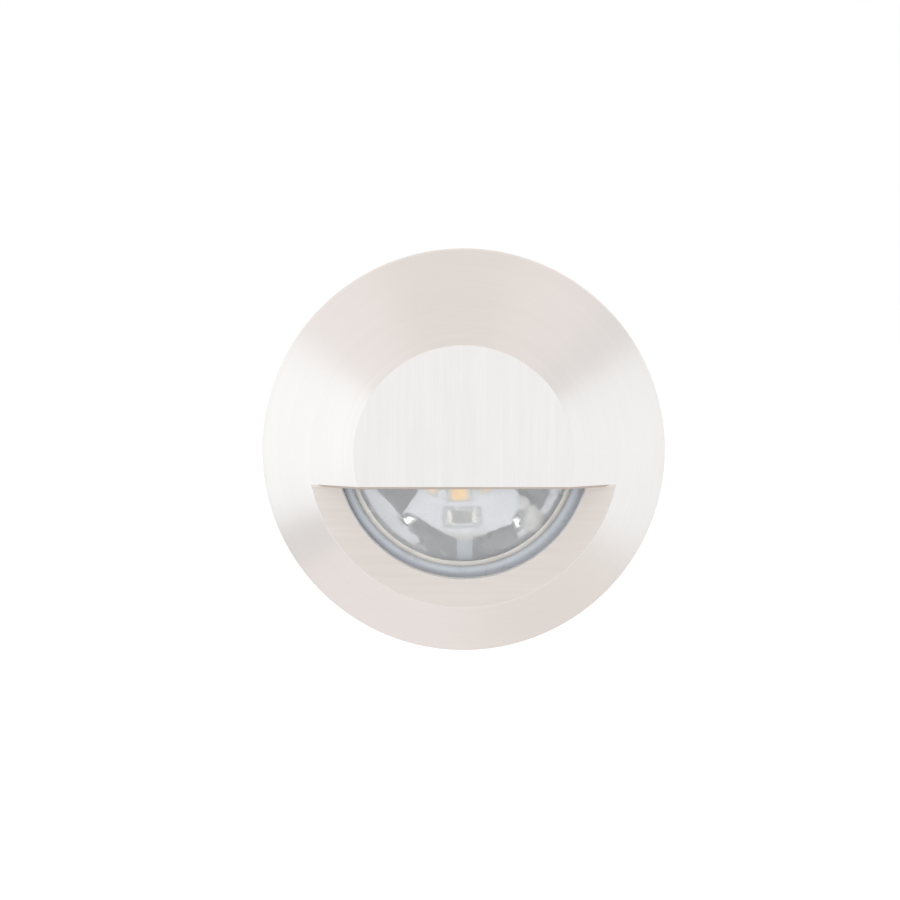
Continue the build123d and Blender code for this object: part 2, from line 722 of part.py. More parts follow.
def make_heat_sink():
    """Disc with a tongue behind it, on which the driver board lies."""
    sink = slab(Circle(SLIP_RADIUS), HEAT_FRONT, HEAT_BACK)
    sink += block(
        (-TONGUE_WIDTH / 2, TONGUE_WIDTH / 2),
        (HEAT_BACK - STATIC_GAP, HEAT_BACK + TONGUE_LENGTH),
        (DRIVER_LEVEL - TONGUE_THICKNESS, DRIVER_LEVEL),
    )
    for hole in lead_holes(HEAT_FRONT, HEAT_BACK):
        sink -= hole
    tip = BOARD_FRONT + BOARD_SCREW_LENGTH + SCREW_END_ROOM
    for hole in board_screw_holes(HEAT_FRONT, tip):
        sink -= hole
    for x, depth in driver_screw_places():
        sink -= post(
            SMALL_SCREW_SHANK + STATIC_GAP, DRIVER_LEVEL - TONGUE_THICKNESS, DRIVER_LEVEL, x, depth
        )
    return sink


def make_snap_ring():
    """Open ring in the housing's groove, with two lugs for the pliers."""
    outer = BORE_RADIUS + SNAP_RING_BITE
    inner = outer - SNAP_RING_WIDTH
    mid = inner - SNAP_LUG / 3
    outline = Circle(outer) - Circle(inner)
    lug_x = SNAP_RING_GAP / 2 + SNAP_LUG
    for side in (-1, 1):
        outline += Pos(side * lug_x, math.sqrt(mid**2 - lug_x**2)) * Circle(SNAP_LUG)
        outline -= Pos(side * lug_x, math.sqrt(mid**2 - lug_x**2)) * Circle(SNAP_LUG_HOLE)
    outline -= Pos(0, mid) * Rectangle(SNAP_RING_GAP, 4 * SNAP_RING_WIDTH)
    return slab(outline, HEAT_BACK, HEAT_BACK + SNAP_RING_THICKNESS)


def make_lead(x, z):
    """Lead from a solder joint straight back through the heat sink and up to the driver board."""
    route = [(x, BOARD_FRONT, z), (x, LEAD_TURN_DEPTH, z), (x, LEAD_TURN_DEPTH, DRIVER_LEVEL)]
    runs = [math.dist(route[i], route[i + 1]) for i in range(2)]
    bend = LEAD_BEND_SHARE * min(runs)
    path = FilletPolyline(*route, radius=bend)
    lead = sweep(facing(BOARD_FRONT) * Pos(x, z) * Circle(LEAD_RADIUS), path=path)
    share = lead.volume / (math.pi * LEAD_RADIUS**2 * path.length)
    print(f"lead at x {x:.1f}: bend radius {bend:.2f}, length {path.length:.1f}, volume share {share:.4f}")
    return lead


# ---------------------------------------------------------------- driver


def on_driver(size, place, lift=0.0):
    """Block of (x, y, z) size standing on the driver board, centred at (x, depth along it)."""
    x, along = place
    depth = DRIVER_FRONT + along
    low = DRIVER_TOP + lift
    return block(
        (x - size[0] / 2, x + size[0] / 2),
        (depth - size[1] / 2, depth + size[1] / 2),
        (low, low + size[2]),
    )


def make_driver_board():
    """Board that lies along the axis on the heat sink's tongue."""
    board = block(
        (-DRIVER_WIDTH / 2, DRIVER_WIDTH / 2),
        (DRIVER_FRONT, DRIVER_FRONT + DRIVER_LENGTH),
        (DRIVER_LEVEL, DRIVER_TOP),
    )
    for x, depth in driver_screw_places():
        board -= post(SMALL_SCREW_SHANK + STATIC_GAP, DRIVER_LEVEL, DRIVER_TOP, x, depth)
    return board


def make_driver_screws():
    """Two screws down through the driver board into the tongue."""
    screw = Rot(-90, 0, 0) * pan_screw(DRIVER_SCREW_LENGTH)
    return group(Pos(x, depth, DRIVER_TOP) * screw for x, depth in driver_screw_places())


def make_inductor():
    """Square shielded coil with broken corners and a round core."""
    body = chamfer(on_driver(INDUCTOR, INDUCTOR_AT).edges().filter_by(Axis.Z), INDUCTOR_CORNER)
    depth = DRIVER_FRONT + INDUCTOR_AT[1]
    high = DRIVER_TOP + INDUCTOR[2]
    low = high - INDUCTOR_GROOVE
    groove = post(INDUCTOR_CORE + INDUCTOR_GROOVE, low, high, INDUCTOR_AT[0], depth)
    core = post(INDUCTOR_CORE, low, high, INDUCTOR_AT[0], depth)
    return body - (groove - core)


def make_capacitor():
    """Can on a square foot."""
    x, along = CAPACITOR_AT
    side = 2 * CAPACITOR_RADIUS
    foot = on_driver((side, side, CAPACITOR_FOOT), CAPACITOR_AT)
    low = DRIVER_TOP + CAPACITOR_FOOT
    can = post(CAPACITOR_RADIUS - STATIC_GAP, low, DRIVER_TOP + CAPACITOR_HEIGHT, x, DRIVER_FRONT + along)
    return foot + fillet(can.edges().sort_by(Axis.Z)[-1], EDGE_BREAK)


def make_chip(size, place):
    """Moulded chip with a short row of legs on both sides."""
    lift = size[2] * CHIP_LIFT_SHARE
    across, along = CHIP_BODY_SHARE
    body = on_driver((size[0] * across, size[1] * along, size[2] - lift), place, lift)
    leg = size[0] * CHIP_LEG_SHARE
    for i in range(CHIP_LEG_COUNT):
        x = place[0] + (2 * i + 1 - CHIP_LEG_COUNT) * leg
        body += on_driver((leg, size[1], size[2] / 2), (x, place[1]))
    return body


def make_terminal_block():
    """Two-way block, its wire entries to the rear and its screws on top."""
    body = on_driver(TERMINAL_BLOCK, TERMINAL_BLOCK_AT)
    x, along = TERMINAL_BLOCK_AT
    rear = DRIVER_FRONT + along + TERMINAL_BLOCK[1] / 2
    top = DRIVER_TOP + TERMINAL_BLOCK[2]
    for side in (-1, 1):
        centre = x + side * TERMINAL_PITCH / 2
        entry_z = DRIVER_TOP + TERMINAL_BLOCK[2] / 3
        body -= peg(TERMINAL_ENTRY, rear - TERMINAL_ENTRY_DEPTH, rear, centre, entry_z)
        body -= post(
            TERMINAL_SCREW + STATIC_GAP, top - TERMINAL_SCREW_HEIGHT, top, centre, DRIVER_FRONT + along
        )
    return body


def make_terminal_screws():
    """Slotted screws of the terminal block, a little below its top."""
    x, along = TERMINAL_BLOCK_AT
    depth = DRIVER_FRONT + along
    top = DRIVER_TOP + TERMINAL_BLOCK[2]
    screws = []
    for side in (-1, 1):
        centre = x + side * TERMINAL_PITCH / 2
        screw = post(TERMINAL_SCREW, top - TERMINAL_SCREW_HEIGHT, top - EDGE_BREAK, centre, depth)
        half_slot = SMALL_SCREW_SLOT / 2
        slot = block(
            (centre - TERMINAL_SCREW, centre + TERMINAL_SCREW),
            (depth - half_slot, depth + half_slot),
            (top - 3 * EDGE_BREAK, top),
        )
        screws.append(screw - slot)
    return group(screws)


# ---------------------------------------------------------------- rear cap and gland


def make_rear_cap():
    """Screwed cap with a groove for its ring and notches for a spanner."""
    spigot_front = HOUSING_REACH - CAP_SPIGOT
    groove_back = HOUSING_REACH - RING_GROOVE_AT
    groove_front = groove_back - RING_GROOVE_WIDTH
    groove_bottom = BORE_RADIUS - 2 * RING_SECTION
    cup = SLIP_RADIUS - CAP_SPIGOT_WALL
    cap = turned(
        (GLAND_THREAD + STATIC_GAP, CAP_BACK),
        (TUBE_RADIUS - EDGE_BREAK, CAP_BACK),
        (TUBE_RADIUS, CAP_BACK - EDGE_BREAK),
        (TUBE_RADIUS, HOUSING_REACH),
        (SLIP_RADIUS, HOUSING_REACH),
        (SLIP_RADIUS, groove_back),
        (groove_bottom, groove_back),
        (groove_bottom, groove_front),
        (SLIP_RADIUS, groove_front),
        (SLIP_RADIUS, spigot_front),
        (cup, spigot_front),
        (cup, HOUSING_REACH),
        (GLAND_THREAD + STATIC_GAP, HOUSING_REACH),
    )
    across, inwards, along = CAP_NOTCH
    for i in range(CAP_NOTCH_COUNT):
        notch = Pos(TUBE_RADIUS, 0) * Rectangle(2 * inwards, across)
        turn = 360 / CAP_NOTCH_COUNT * (i + 0.5)
        cap -= slab(Rot(0, 0, turn) * notch, CAP_BACK - along, CAP_BACK)
    return cap


def make_cap_ring():
    """Round-section ring in the cap's groove."""
    depth = HOUSING_REACH - RING_GROOVE_AT - RING_GROOVE_WIDTH / 2
    section = Pos(BORE_RADIUS - RING_SECTION, depth) * Circle(RING_SECTION)
    return revolve(section, Axis.Y)


def make_gland_washer():
    """Sealing washer under the gland's hexagon."""
    return ring(GLAND_THREAD + STATIC_GAP, GLAND_WASHER_OUTER, CAP_BACK, GLAND_HEX_FRONT)


def hexagon(half_width, front, back):
    """Hexagonal prism with broken corners."""
    prism = slab(RegularPolygon(half_width, 6, major_radius=False), front, back)
    corner = half_width / math.cos(math.radians(30)) - EDGE_BREAK
    drum = turned(
        (0, front),
        (corner - EDGE_BREAK, front),
        (corner, front + EDGE_BREAK),
        (corner, back - EDGE_BREAK),
        (corner - EDGE_BREAK, back),
        (0, back),
    )
    return prism & drum


def make_gland_body():
    """Thread, hexagon and hollow neck in one."""
    inner_end = HOUSING_REACH - GLAND_THREAD_INNER
    neck_back = GLAND_HEX_BACK + GLAND_NECK_LENGTH
    body = hexagon(GLAND_HEX, GLAND_HEX_FRONT, GLAND_HEX_BACK)
    body += slab(Circle(GLAND_THREAD), inner_end, GLAND_HEX_FRONT + EDGE_BREAK)
    body += slab(Circle(GLAND_NECK), GLAND_HEX_BACK - EDGE_BREAK, neck_back)
    body -= peg(GLAND_BORE, inner_end, neck_back)
    pocket = GLAND_SEAL_BORE + GLAND_SEAL_WALL + STATIC_GAP
    return body - peg(pocket, GLAND_SEAL_FRONT, neck_back)


def make_gland_seal():
    """Rubber sleeve that closes on the cable."""
    return ring(
        GLAND_SEAL_BORE, GLAND_SEAL_BORE + GLAND_SEAL_WALL, GLAND_SEAL_FRONT, GLAND_SEAL_BACK
    )


def make_gland_nut():
    """Domed nut over the neck and the sleeve."""
    nut = hexagon(GLAND_HEX, NUT_FRONT, NUT_HEX_BACK)
    nut += turned(
        (0, NUT_HEX_BACK - EDGE_BREAK),
        (GLAND_DOME, NUT_HEX_BACK - EDGE_BREAK),
        (GLAND_DOME, NUT_HEX_BACK + GLAND_DOME_LENGTH / 3),
        (GLAND_DOME_TIP, NUT_BACK),
        (0, NUT_BACK),
    )
    nut -= peg(GLAND_NECK + STATIC_GAP, NUT_FRONT, GLAND_SEAL_BACK)
    return nut - peg(GLAND_BORE, NUT_FRONT, NUT_BACK)


# ---------------------------------------------------------------- retaining clip at +X


def make_clip_bracket():
    """Folded plate on the housing's pad, with two ears that hold the pin."""
    ear_outer = CLIP_EAR_INNER + CLIP_SHEET
    back = CLIP_BASE_FRONT + CLIP_BASE_LENGTH
    base = block((PAD_TOP, BASE_TOP), (CLIP_BASE_FRONT, back), (-ear_outer, ear_outer))
    base -= block(
        (PAD_TOP, BASE_TOP),
        (CLIP_BASE_FRONT, CLIP_NOTCH_BACK),
        (-CLIP_NOTCH_HALF, CLIP_NOTCH_HALF),
    )
    for depth in RIVET_DEPTHS:
        base -= side_peg(RIVET_SHANK, PAD_TOP, BASE_TOP, depth, 0)
    web = block(
        (PAD_TOP, PIVOT_X),
        (CLIP_PIVOT_DEPTH - CHEEK_RADIUS, CLIP_PIVOT_DEPTH + CHEEK_RADIUS),
        (CLIP_EAR_INNER, ear_outer),
    )
    ear = web + post(CHEEK_RADIUS, CLIP_EAR_INNER, ear_outer, PIVOT_X, CLIP_PIVOT_DEPTH)
    ear -= post(PIN_RADIUS, CLIP_EAR_INNER, ear_outer, PIVOT_X, CLIP_PIVOT_DEPTH)
    return base + ear + mirror(ear, about=Plane.XY)


def arm_frame():
    """The arm's own frame at rest: x along the arm, y out of its pressing face, z along the pin."""
    turn = math.radians(CLIP_REST_ANGLE)
    return Plane(
        origin=(PIVOT_X, CLIP_PIVOT_DEPTH, 0),
        x_dir=(math.cos(turn), math.sin(turn), 0),
        z_dir=(0, 0, -1),
    )


def make_clip_arm():
    """Channel-shaped arm with two cheeks on the pin and a rolled foot."""
    far = ARM_FACE + CLIP_SHEET
    plate = Polygon(
        (-CLIP_HEEL, ARM_FACE),
        (CLIP_ARM_LENGTH, ARM_FACE),
        (CLIP_ARM_LENGTH, far),
        (-CLIP_HEEL, far),
        align=None,
    )
    foot = Pos(CLIP_ARM_LENGTH, (ARM_FACE + far) / 2) * Circle(CLIP_SHEET)
    cheek = Circle(CHEEK_RADIUS) + Polygon(
        (-CHEEK_RADIUS, 0),
        (CHEEK_RADIUS, 0),
        (CLIP_CHEEK_LENGTH, ARM_FACE),
        (CLIP_CHEEK_LENGTH, far),
        (-CLIP_HEEL, far),
        align=None,
    )
    cheek -= Circle(PIN_RADIUS + RUNNING_GAP)
    arm = extrude(plate + foot, CLIP_ARM_HALF, both=True)
    side = extrude(cheek, CLIP_ARM_HALF, both=True) - extrude(
        cheek, CLIP_ARM_HALF - CLIP_SHEET, both=True
    )
    return arm_frame() * (arm + side)


def make_clip_pin():
    """Pin through both ears of a bracket."""
    half = CLIP_EAR_INNER + CLIP_SHEET + PIN_OVERHANG
    return post(PIN_RADIUS, -half, half, PIVOT_X, CLIP_PIVOT_DEPTH)


def make_clip_rivets():
    """Two rivets that hold a bracket on its pad."""
    return [
        side_peg(RIVET_SHANK - STATIC_GAP, PAD_TOP - RIVET_DEPTH, BASE_TOP, depth, 0)
        + side_peg(RIVET_HEAD, BASE_TOP, BASE_TOP + RIVET_HEAD_HEIGHT, depth, 0)
        for depth in RIVET_DEPTHS
    ]


def biarc(start, start_way, end, end_way):
    """Two arcs that leave the start and reach the end along the given unit directions."""
    chord = end - start
    lean = chord.dot(start_way + end_way)
    bend = 1 - start_way.dot(end_way)
    reach = (-lean + math.sqrt(lean**2 + 2 * bend * chord.dot(chord))) / (2 * bend)
    first_knee = start + start_way * reach
    second_knee = end - end_way * reach
    middle = (first_knee + second_knee) * 0.5
    middle_way = (second_knee - first_knee).normalized()
    return [
        Edge.make_tangent_arc(start, start_way, middle),
        Edge.make_tangent_arc(middle, middle_way, end),
    ]


def spring_path():
    """Line of the spring's wire: a leg on the bracket, the coil round the pin, a leg on the arm."""
    first = 180.0
    sweep_angle = 360.0 * SPRING_TURNS + (CLIP_REST_ANGLE - 90.0) % 360.0 - first
    quarters = round(sweep_angle / 90)
    step = sweep_angle / quarters
    rise = 2 * SPRING_HALF_WIDTH / (quarters - 1)
    slope = rise / (COIL_MEAN * math.radians(step))
    points = []
    ways = []
    for i in range(quarters + 1):
        turn = math.radians(first + step * i)
        height = min(max((i - 0.5) * rise, 0), (quarters - 1) * rise) - SPRING_HALF_WIDTH
        lift = 0 if i in (0, quarters) else slope
        points.append(
            Vector(
                PIVOT_X + COIL_MEAN * math.cos(turn),
                CLIP_PIVOT_DEPTH + COIL_MEAN * math.sin(turn),
                height,
            )
        )
        ways.append(Vector(-math.sin(turn), math.cos(turn), lift).normalized())
    edges = [Edge.make_line(points[0] - ways[0] * SPRING_FIXED_LEG, points[0])]
    for i in range(quarters):
        edges += biarc(points[i], ways[i], points[i + 1], ways[i + 1])
    edges.append(Edge.make_line(points[-1], points[-1] + ways[-1] * SPRING_ARM_LEG))
    return edges


def least_self_gap(edges):
    """Least gap of the wire to itself, measured between points more than half a turn apart."""
    samples = []
    travelled = 0.0
    for edge in edges:
        count = max(4, round(edge.length / (SPRING_WIRE / 4)))
        for i in range(count):
            samples.append((travelled + edge.length * i / count, edge.position_at(i / count)))
        travelled += edge.length
    half_turn = math.pi * COIL_MEAN
    nearest = min(
        (a - b).length
        for i, (at_a, a) in enumerate(samples)
        for at_b, b in samples[i + 1 :]
        if at_b - at_a > half_turn
    )
    return nearest - SPRING_WIRE


def make_clip_spring():
    """Torsion spring round the pin, one unbroken wire."""
    edges = spring_path()
    start = edges[0].position_at(0)
    section = Plane(origin=start, z_dir=edges[0].tangent_at(0)) * Circle(SPRING_WIRE / 2)
    spring = sweep(section, path=Wire(edges))
    length = sum(edge.length for edge in edges)
    share = spring.volume / (math.pi * SPRING_WIRE**2 / 4 * length)
    print(f"spring: least self gap {least_self_gap(edges):.3f}, volume share {share:.4f}")
    return spring


def at_left(piece):
    """The same piece on the other side of the light."""
    return mirror(piece, about=Plane.YZ)


# ---------------------------------------------------------------- all pieces


def make_all():
    """Every piece of the light by name."""
    bracket = make_clip_bracket()
    arm = make_clip_arm()
    spring = make_clip_spring()
    pin = make_clip_pin()
    rivets = make_clip_rivets()
    left_joint, right_joint = solder_places()
    return {
        "eyelid_faceplate": make_faceplate(),
        "wall_seal": make_wall_seal(),
        "lens": make_lens(),
        "lens_gasket": make_gasket(),
        "housing": make_housing(),
        "faceplate_screws": make_face_screws(),
        "spacer_ring": make_spacer_ring(),
        "led_board": make_led_board(),
        "led_bodies": make_led_bodies(),
        "led_phosphors": make_led_phosphors(),
        "resistor_bodies": make_resistor_bodies(),
        "resistor_terminals": make_resistor_terminals(),
        "solder_joints": make_solder_joints(),
        "board_screws": make_board_screws(),
        "thermal_pad": make_thermal_pad(),
        "heat_sink": make_heat_sink(),
        "snap_ring": make_snap_ring(),
        "led_lead_negative": make_lead(*left_joint),
        "led_lead_positive": make_lead(*right_joint),
        "driver_board": make_driver_board(),
        "driver_screws": make_driver_screws(),
        "inductor": make_inductor(),
        "smoothing_capacitor": make_capacitor(),
        "rectifier": make_chip(RECTIFIER, RECTIFIER_AT),
        "driver_chip": make_chip(CHIP, CHIP_AT),
        "chip_parts": group(on_driver(CHIP_PART, place) for place in CHIP_PART_AT),
        "terminal_block": make_terminal_block(),
        "terminal_screws": make_terminal_screws(),
        "rear_cap": make_rear_cap(),
        "rear_cap_ring": make_cap_ring(),
        "gland_washer": make_gland_washer(),
        "gland_body": make_gland_body(),
        "gland_seal": make_gland_seal(),
        "gland_nut": make_gland_nut(),
        "clip_bracket_right": bracket,
        "clip_bracket_left": at_left(bracket),
        "clip_arm_right": arm,
        "clip_arm_left": at_left(arm),
        "clip_spring_right": spring,
        "clip_spring_left": at_left(spring),
        "clip_pins": group([pin, at_left(pin)]),
        "clip_rivets": group(rivets + [at_left(rivet) for rivet in rivets]),
    }


for name, piece in make_all().items():
    export_step(piece, f"parts/{name}.step")
    print(f"{name}: {len(piece.solids())} solids, {piece.volume:.1f} mm3")
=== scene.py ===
"""Looks of a round step light with an eyelid hood: finishes, formed pieces, studio and camera.

Metres, +Z up. The light faces -Y, its body reaches along +Y, and the origin is the centre of its
wall seat. Sizes in the classes are millimetres and become metres where a mesh is made.
"""

import json
import logging
import math
import random
from collections.abc import Iterable, Sequence
from dataclasses import dataclass
from enum import Enum
from typing import ClassVar

import bmesh
import bpy
from mathutils import Matrix, Vector
from mathutils.geometry import tessellate_polygon

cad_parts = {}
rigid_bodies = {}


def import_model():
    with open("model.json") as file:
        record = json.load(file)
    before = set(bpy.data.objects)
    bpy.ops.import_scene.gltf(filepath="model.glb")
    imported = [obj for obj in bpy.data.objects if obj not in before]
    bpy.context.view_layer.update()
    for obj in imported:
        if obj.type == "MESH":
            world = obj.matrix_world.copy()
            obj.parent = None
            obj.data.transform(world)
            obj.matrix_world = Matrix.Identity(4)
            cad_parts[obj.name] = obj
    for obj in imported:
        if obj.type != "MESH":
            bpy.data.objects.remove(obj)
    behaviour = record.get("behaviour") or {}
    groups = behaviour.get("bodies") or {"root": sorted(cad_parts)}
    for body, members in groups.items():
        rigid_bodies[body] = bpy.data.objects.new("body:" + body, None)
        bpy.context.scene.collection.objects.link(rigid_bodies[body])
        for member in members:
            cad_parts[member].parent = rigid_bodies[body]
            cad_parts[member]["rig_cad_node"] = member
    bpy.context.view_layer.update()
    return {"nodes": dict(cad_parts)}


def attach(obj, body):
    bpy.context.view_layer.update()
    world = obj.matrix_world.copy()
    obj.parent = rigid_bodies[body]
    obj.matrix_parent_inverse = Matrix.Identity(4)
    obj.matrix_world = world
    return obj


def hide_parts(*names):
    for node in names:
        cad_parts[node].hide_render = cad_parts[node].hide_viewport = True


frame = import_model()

MM = 0.001
BOARD_TURN = 0.7
BOARD_FRONT = 0.2
PURE_WHITE = (1, 1, 1, 1)

# Ranges that a value is often moved to, and the one that nearly all of a noise lies in.
RISE = (0.0, 1.0)
FALL = (1.0, 0.0)
NOISE_SPAN = (0.3, 0.7)

log = logging.getLogger("step_light")

Socket = bpy.types.NodeSocket
Feed = Socket | float | Sequence[float]
Feeds = dict[str | int, Feed]
Triple = tuple[float, float, float]
Point = tuple[float, float]
Mesh = tuple[list[Vector], list[Sequence[int]]]


def tone(seen: Sequence[float]) -> tuple[float, ...]:
    """Turns a colour as it is seen into the linear values that a shader takes.

    Args:
        seen: Red, green and blue, 0 to 255.

    Returns:
        Linear red, green, blue and an alpha of 1.
    """
    parts = [value / 255 for value in seen]
    linear = [s / 12.92 if s <= 0.04045 else ((s + 0.055) / 1.055) ** 2.4 for s in parts]
    return (*linear, 1.0)


def about(value: float, share: float) -> Point:
    """Range from a share of a value below it to the same above it."""
    return value * (1 - share), value * (1 + share)


# ---------------------------------------------------------------- shader nodes


class Graph:
    """Short way to lay out the nodes of one tree."""

    MIX_SOCKETS: ClassVar[dict[str, tuple[int, int, int]]] = {
        "FLOAT": (2, 3, 0),
        "VECTOR": (4, 5, 1),
        "RGBA": (6, 7, 2),
    }

    def __init__(self, tree: bpy.types.NodeTree) -> None:
        """Keeps the tree that the nodes go into."""
        self.tree = tree

    @classmethod
    def fresh(cls, owner: bpy.types.Material | bpy.types.World) -> "Graph":
        """Empties the tree of a material or world.

        Args:
            owner: The material or world.

        Returns:
            The graph of its tree.
        """
        owner.use_nodes = True
        owner.node_tree.nodes.clear()
        return cls(owner.node_tree)

    def fill(self, node: bpy.types.Node, feeds: Feeds) -> bpy.types.Node:
        """Links sockets to a node's inputs, or sets the inputs' own values.

        Args:
            node: The node.
            feeds: What goes into its inputs, by name or number.

        Returns:
            The node.
        """
        for name, value in feeds.items():
            if isinstance(value, Socket):
                self.tree.links.new(value, node.inputs[name])
            else:
                node.inputs[name].default_value = value
        return node

    def add(self, kind: str, feeds: Feeds | None = None, **settings: object) -> bpy.types.Node:
        """Adds a node.

        Args:
            kind: The node's type without its first word.
            feeds: What goes into its inputs, by name or number.
            settings: Values of the node's own properties.

        Returns:
            The node.
        """
        node = self.tree.nodes.new("ShaderNode" + kind)
        for name, value in settings.items():
            setattr(node, name, value)
        return self.fill(node, feeds or {})

    def math(self, operation: str, *values: Feed, clamp: bool = False) -> Socket:
        """Result of a Math node."""
        feeds = dict(enumerate(values))
        return self.add("Math", feeds, operation=operation, use_clamp=clamp).outputs[0]

    def vector(self, operation: str, *values: Feed) -> Socket:
        """Result of a Vector Math node: its value for a length or dot product, else its vector."""
        node = self.add("VectorMath", dict(enumerate(values)), operation=operation)
        return node.outputs[1 if operation in ("LENGTH", "DOT_PRODUCT") else 0]

    def scale(self, vector: Feed, factor: Feed) -> Socket:
        """A vector times a factor."""
        return self.add("VectorMath", {0: vector, 3: factor}, operation="SCALE").outputs[0]

    def mix(
        self, kind: str, share: Feed, first: Feed, second: Feed, blend: str = "MIX"
    ) -> Socket:
        """Mixes two values.

        Args:
            kind: FLOAT, VECTOR or RGBA.
            share: How much of the second one there is.
            first: What is there at share 0.
            second: What is there at share 1.
            blend: Blend mode of a colour mix.

        Returns:
            The mixed value.
        """
        a, b, out = self.MIX_SOCKETS[kind]
        node = self.add("Mix", {0: share, a: first, b: second}, data_type=kind, clamp_factor=True)
        if kind == "RGBA":
            node.blend_type = blend
        return node.outputs[out]

    def blend(self, share: Feed, first: bpy.types.Node, second: bpy.types.Node) -> bpy.types.Node:
        """Mix Shader node of two shaders."""
        return self.add("MixShader", {0: share, 1: first.outputs[0], 2: second.outputs[0]})

    def rays(self, first: str, second: str) -> Socket:
        """1 for rays of two kinds, by their names on the Light Path node, else 0."""
        path = self.add("LightPath").outputs
        return self.math("MAXIMUM", path[first], path[second])

    def remap(self, value: Feed, old: Point, new: Point = RISE, smooth: bool = False) -> Socket:
        """Moves a value from one range to another, with its ends held.

        Args:
            value: The value.
            old: The range that it comes from.
            new: The range that it goes to.
            smooth: Whether it leaves and reaches the ends gently.

        Returns:
            The moved value.
        """
        kind = "SMOOTHSTEP" if smooth else "LINEAR"
        feeds = dict(enumerate((value, *old, *new)))
        return self.add("MapRange", feeds, interpolation_type=kind).outputs[0]

    def join(self, x: Feed, y: Feed, z: Feed) -> Socket:
        """Vector from three values."""
        return self.add("CombineXYZ", {0: x, 1: y, 2: z}).outputs[0]

    def split(self, vector: Feed) -> tuple[Socket, ...]:
        """The three values of a vector."""
        return tuple(self.add("SeparateXYZ", {0: vector}).outputs)

    def noise(self, place: Feed, scale: float, detail: float = 2.0, rough: float = 0.5) -> Socket:
        """Value of a noise pattern, about 0.5 on average."""
        feeds = {"Vector": place, "Scale": scale, "Detail": detail, "Roughness": rough}
        return self.add("TexNoise", feeds).outputs[0]

    def bump(self, depth: float, height: Feed, normal: Feed) -> Socket:
        """Normal of a relief of a depth in millimetres on a surface with another normal."""
        feeds = {"Strength": 1.0, "Distance": depth * MM, "Height": height, "Normal": normal}
        return self.add("Bump", feeds).outputs[0]

    def place_mm(self) -> Socket:
        """Position on the object in millimetres."""
        return self.scale(self.add("TexCoord").outputs["Object"], 1 / MM)

    def off_axis(self, place: Feed) -> Socket:
        """Distance from the light's axis."""
        x, _, z = self.split(place)
        return self.vector("LENGTH", self.join(x, 0.0, z))

    def turned(self, place: Feed, depth_share: float, girth: float = 15.0) -> tuple[Feed, Feed]:
        """Where the marks of turning about the light's axis lie.

        Args:
            place: Position in millimetres.
            depth_share: How fast the marks change with the depth, against the radius.
            girth: Radius of the circle that the marks' length is measured on.

        Returns:
            The place for the brushing group, and the direction that the marks run in.
        """
        x, y, z = self.split(place)
        flat = self.join(x, 0.0, z)
        cosine, _, sine = self.split(self.scale(self.vector("NORMALIZE", flat), girth))
        depth = self.math("MULTIPLY", y, depth_share)
        across = self.math("ADD", self.vector("LENGTH", flat), depth)
        return self.join(across, cosine, sine), self.vector("CROSS_PRODUCT", flat, (0, 1, 0))


class Effect:
    """A node group that several finishes share, built when the first of them uses it.

    Its inputs are listed with their kind and usual value, and its outputs with their kind.
    """

    name: ClassVar[str]
    inputs: ClassVar[dict[str, tuple[str, Feed]]]
    outputs: ClassVar[dict[str, str]]
    tree: ClassVar[bpy.types.NodeTree | None] = None

    @staticmethod
    def draw(graph: Graph, given: dict[str, Socket]) -> dict[str, Feed]:
        """Lays out the nodes of the group."""
        raise NotImplementedError

    @classmethod
    def build(cls) -> bpy.types.NodeTree:
        """Makes the group with its sockets and nodes.

        Returns:
            The group.
        """
        tree = bpy.data.node_groups.new(cls.name, "ShaderNodeTree")
        for label, (kind, usual) in cls.inputs.items():
            kind = "NodeSocket" + kind
            socket = tree.interface.new_socket(label, in_out="INPUT", socket_type=kind)
            socket.default_value = usual
        for label, kind in cls.outputs.items():
            tree.interface.new_socket(label, in_out="OUTPUT", socket_type="NodeSocket" + kind)
        entry = tree.nodes.new("NodeGroupInput")
        leave = tree.nodes.new("NodeGroupOutput")
        graph = Graph(tree)
        graph.fill(leave, cls.draw(graph, {label: entry.outputs[label] for label in cls.inputs}))
        return tree

    @classmethod
    def use(cls, graph: Graph, feeds: Feeds) -> dict[str, Socket]:
        """Places the group in a material with its own values.

        Args:
            graph: The material's graph.
            feeds: What goes into the group's inputs, by name.

        Returns:
            The group's outputs, by name.
        """
        if cls.tree is None:
            cls.tree = cls.build()
        node = graph.tree.nodes.new("ShaderNodeGroup")
        node.node_tree = cls.tree
        return {socket.name: socket for socket in graph.fill(node, feeds).outputs}


class Brushing(Effect):
    """Fine parallel lines: Place holds the way across them first, then the way along them."""

    name = "brushing"
    inputs = {
        "Place": ("Vector", (0, 0, 0)),
        "Lines per mm": ("Float", 6.0),
        "Change along": ("Float", 0.1),
    }
    outputs = {"Streak": "Float"}

    @staticmethod
    def draw(graph: Graph, given: dict[str, Socket]) -> dict[str, Feed]:
        """Mixes a fine and a coarse noise, both drawn out along the lines.

        Args:
            graph: The group's graph.
            given: The group's inputs, by name.

        Returns:
            What feeds the group's outputs, by name.
        """
        ways = graph.split(given["Place"])
        lines = []
        for share, detail in ((1.0, 2.0), (0.31, 1.0)):
            pitch = graph.math("MULTIPLY", given["Lines per mm"], share)
            run = graph.math("MULTIPLY", given["Change along"], share)
            drawn = [graph.math("MULTIPLY", way, by) for way, by in zip(ways, (pitch, run, run))]
            lines.append(graph.noise(graph.join(*drawn), 1.0, detail, 0.6))
        return {"Streak": graph.remap(graph.mix("FLOAT", 0.4, *lines), (0.28, 0.72))}


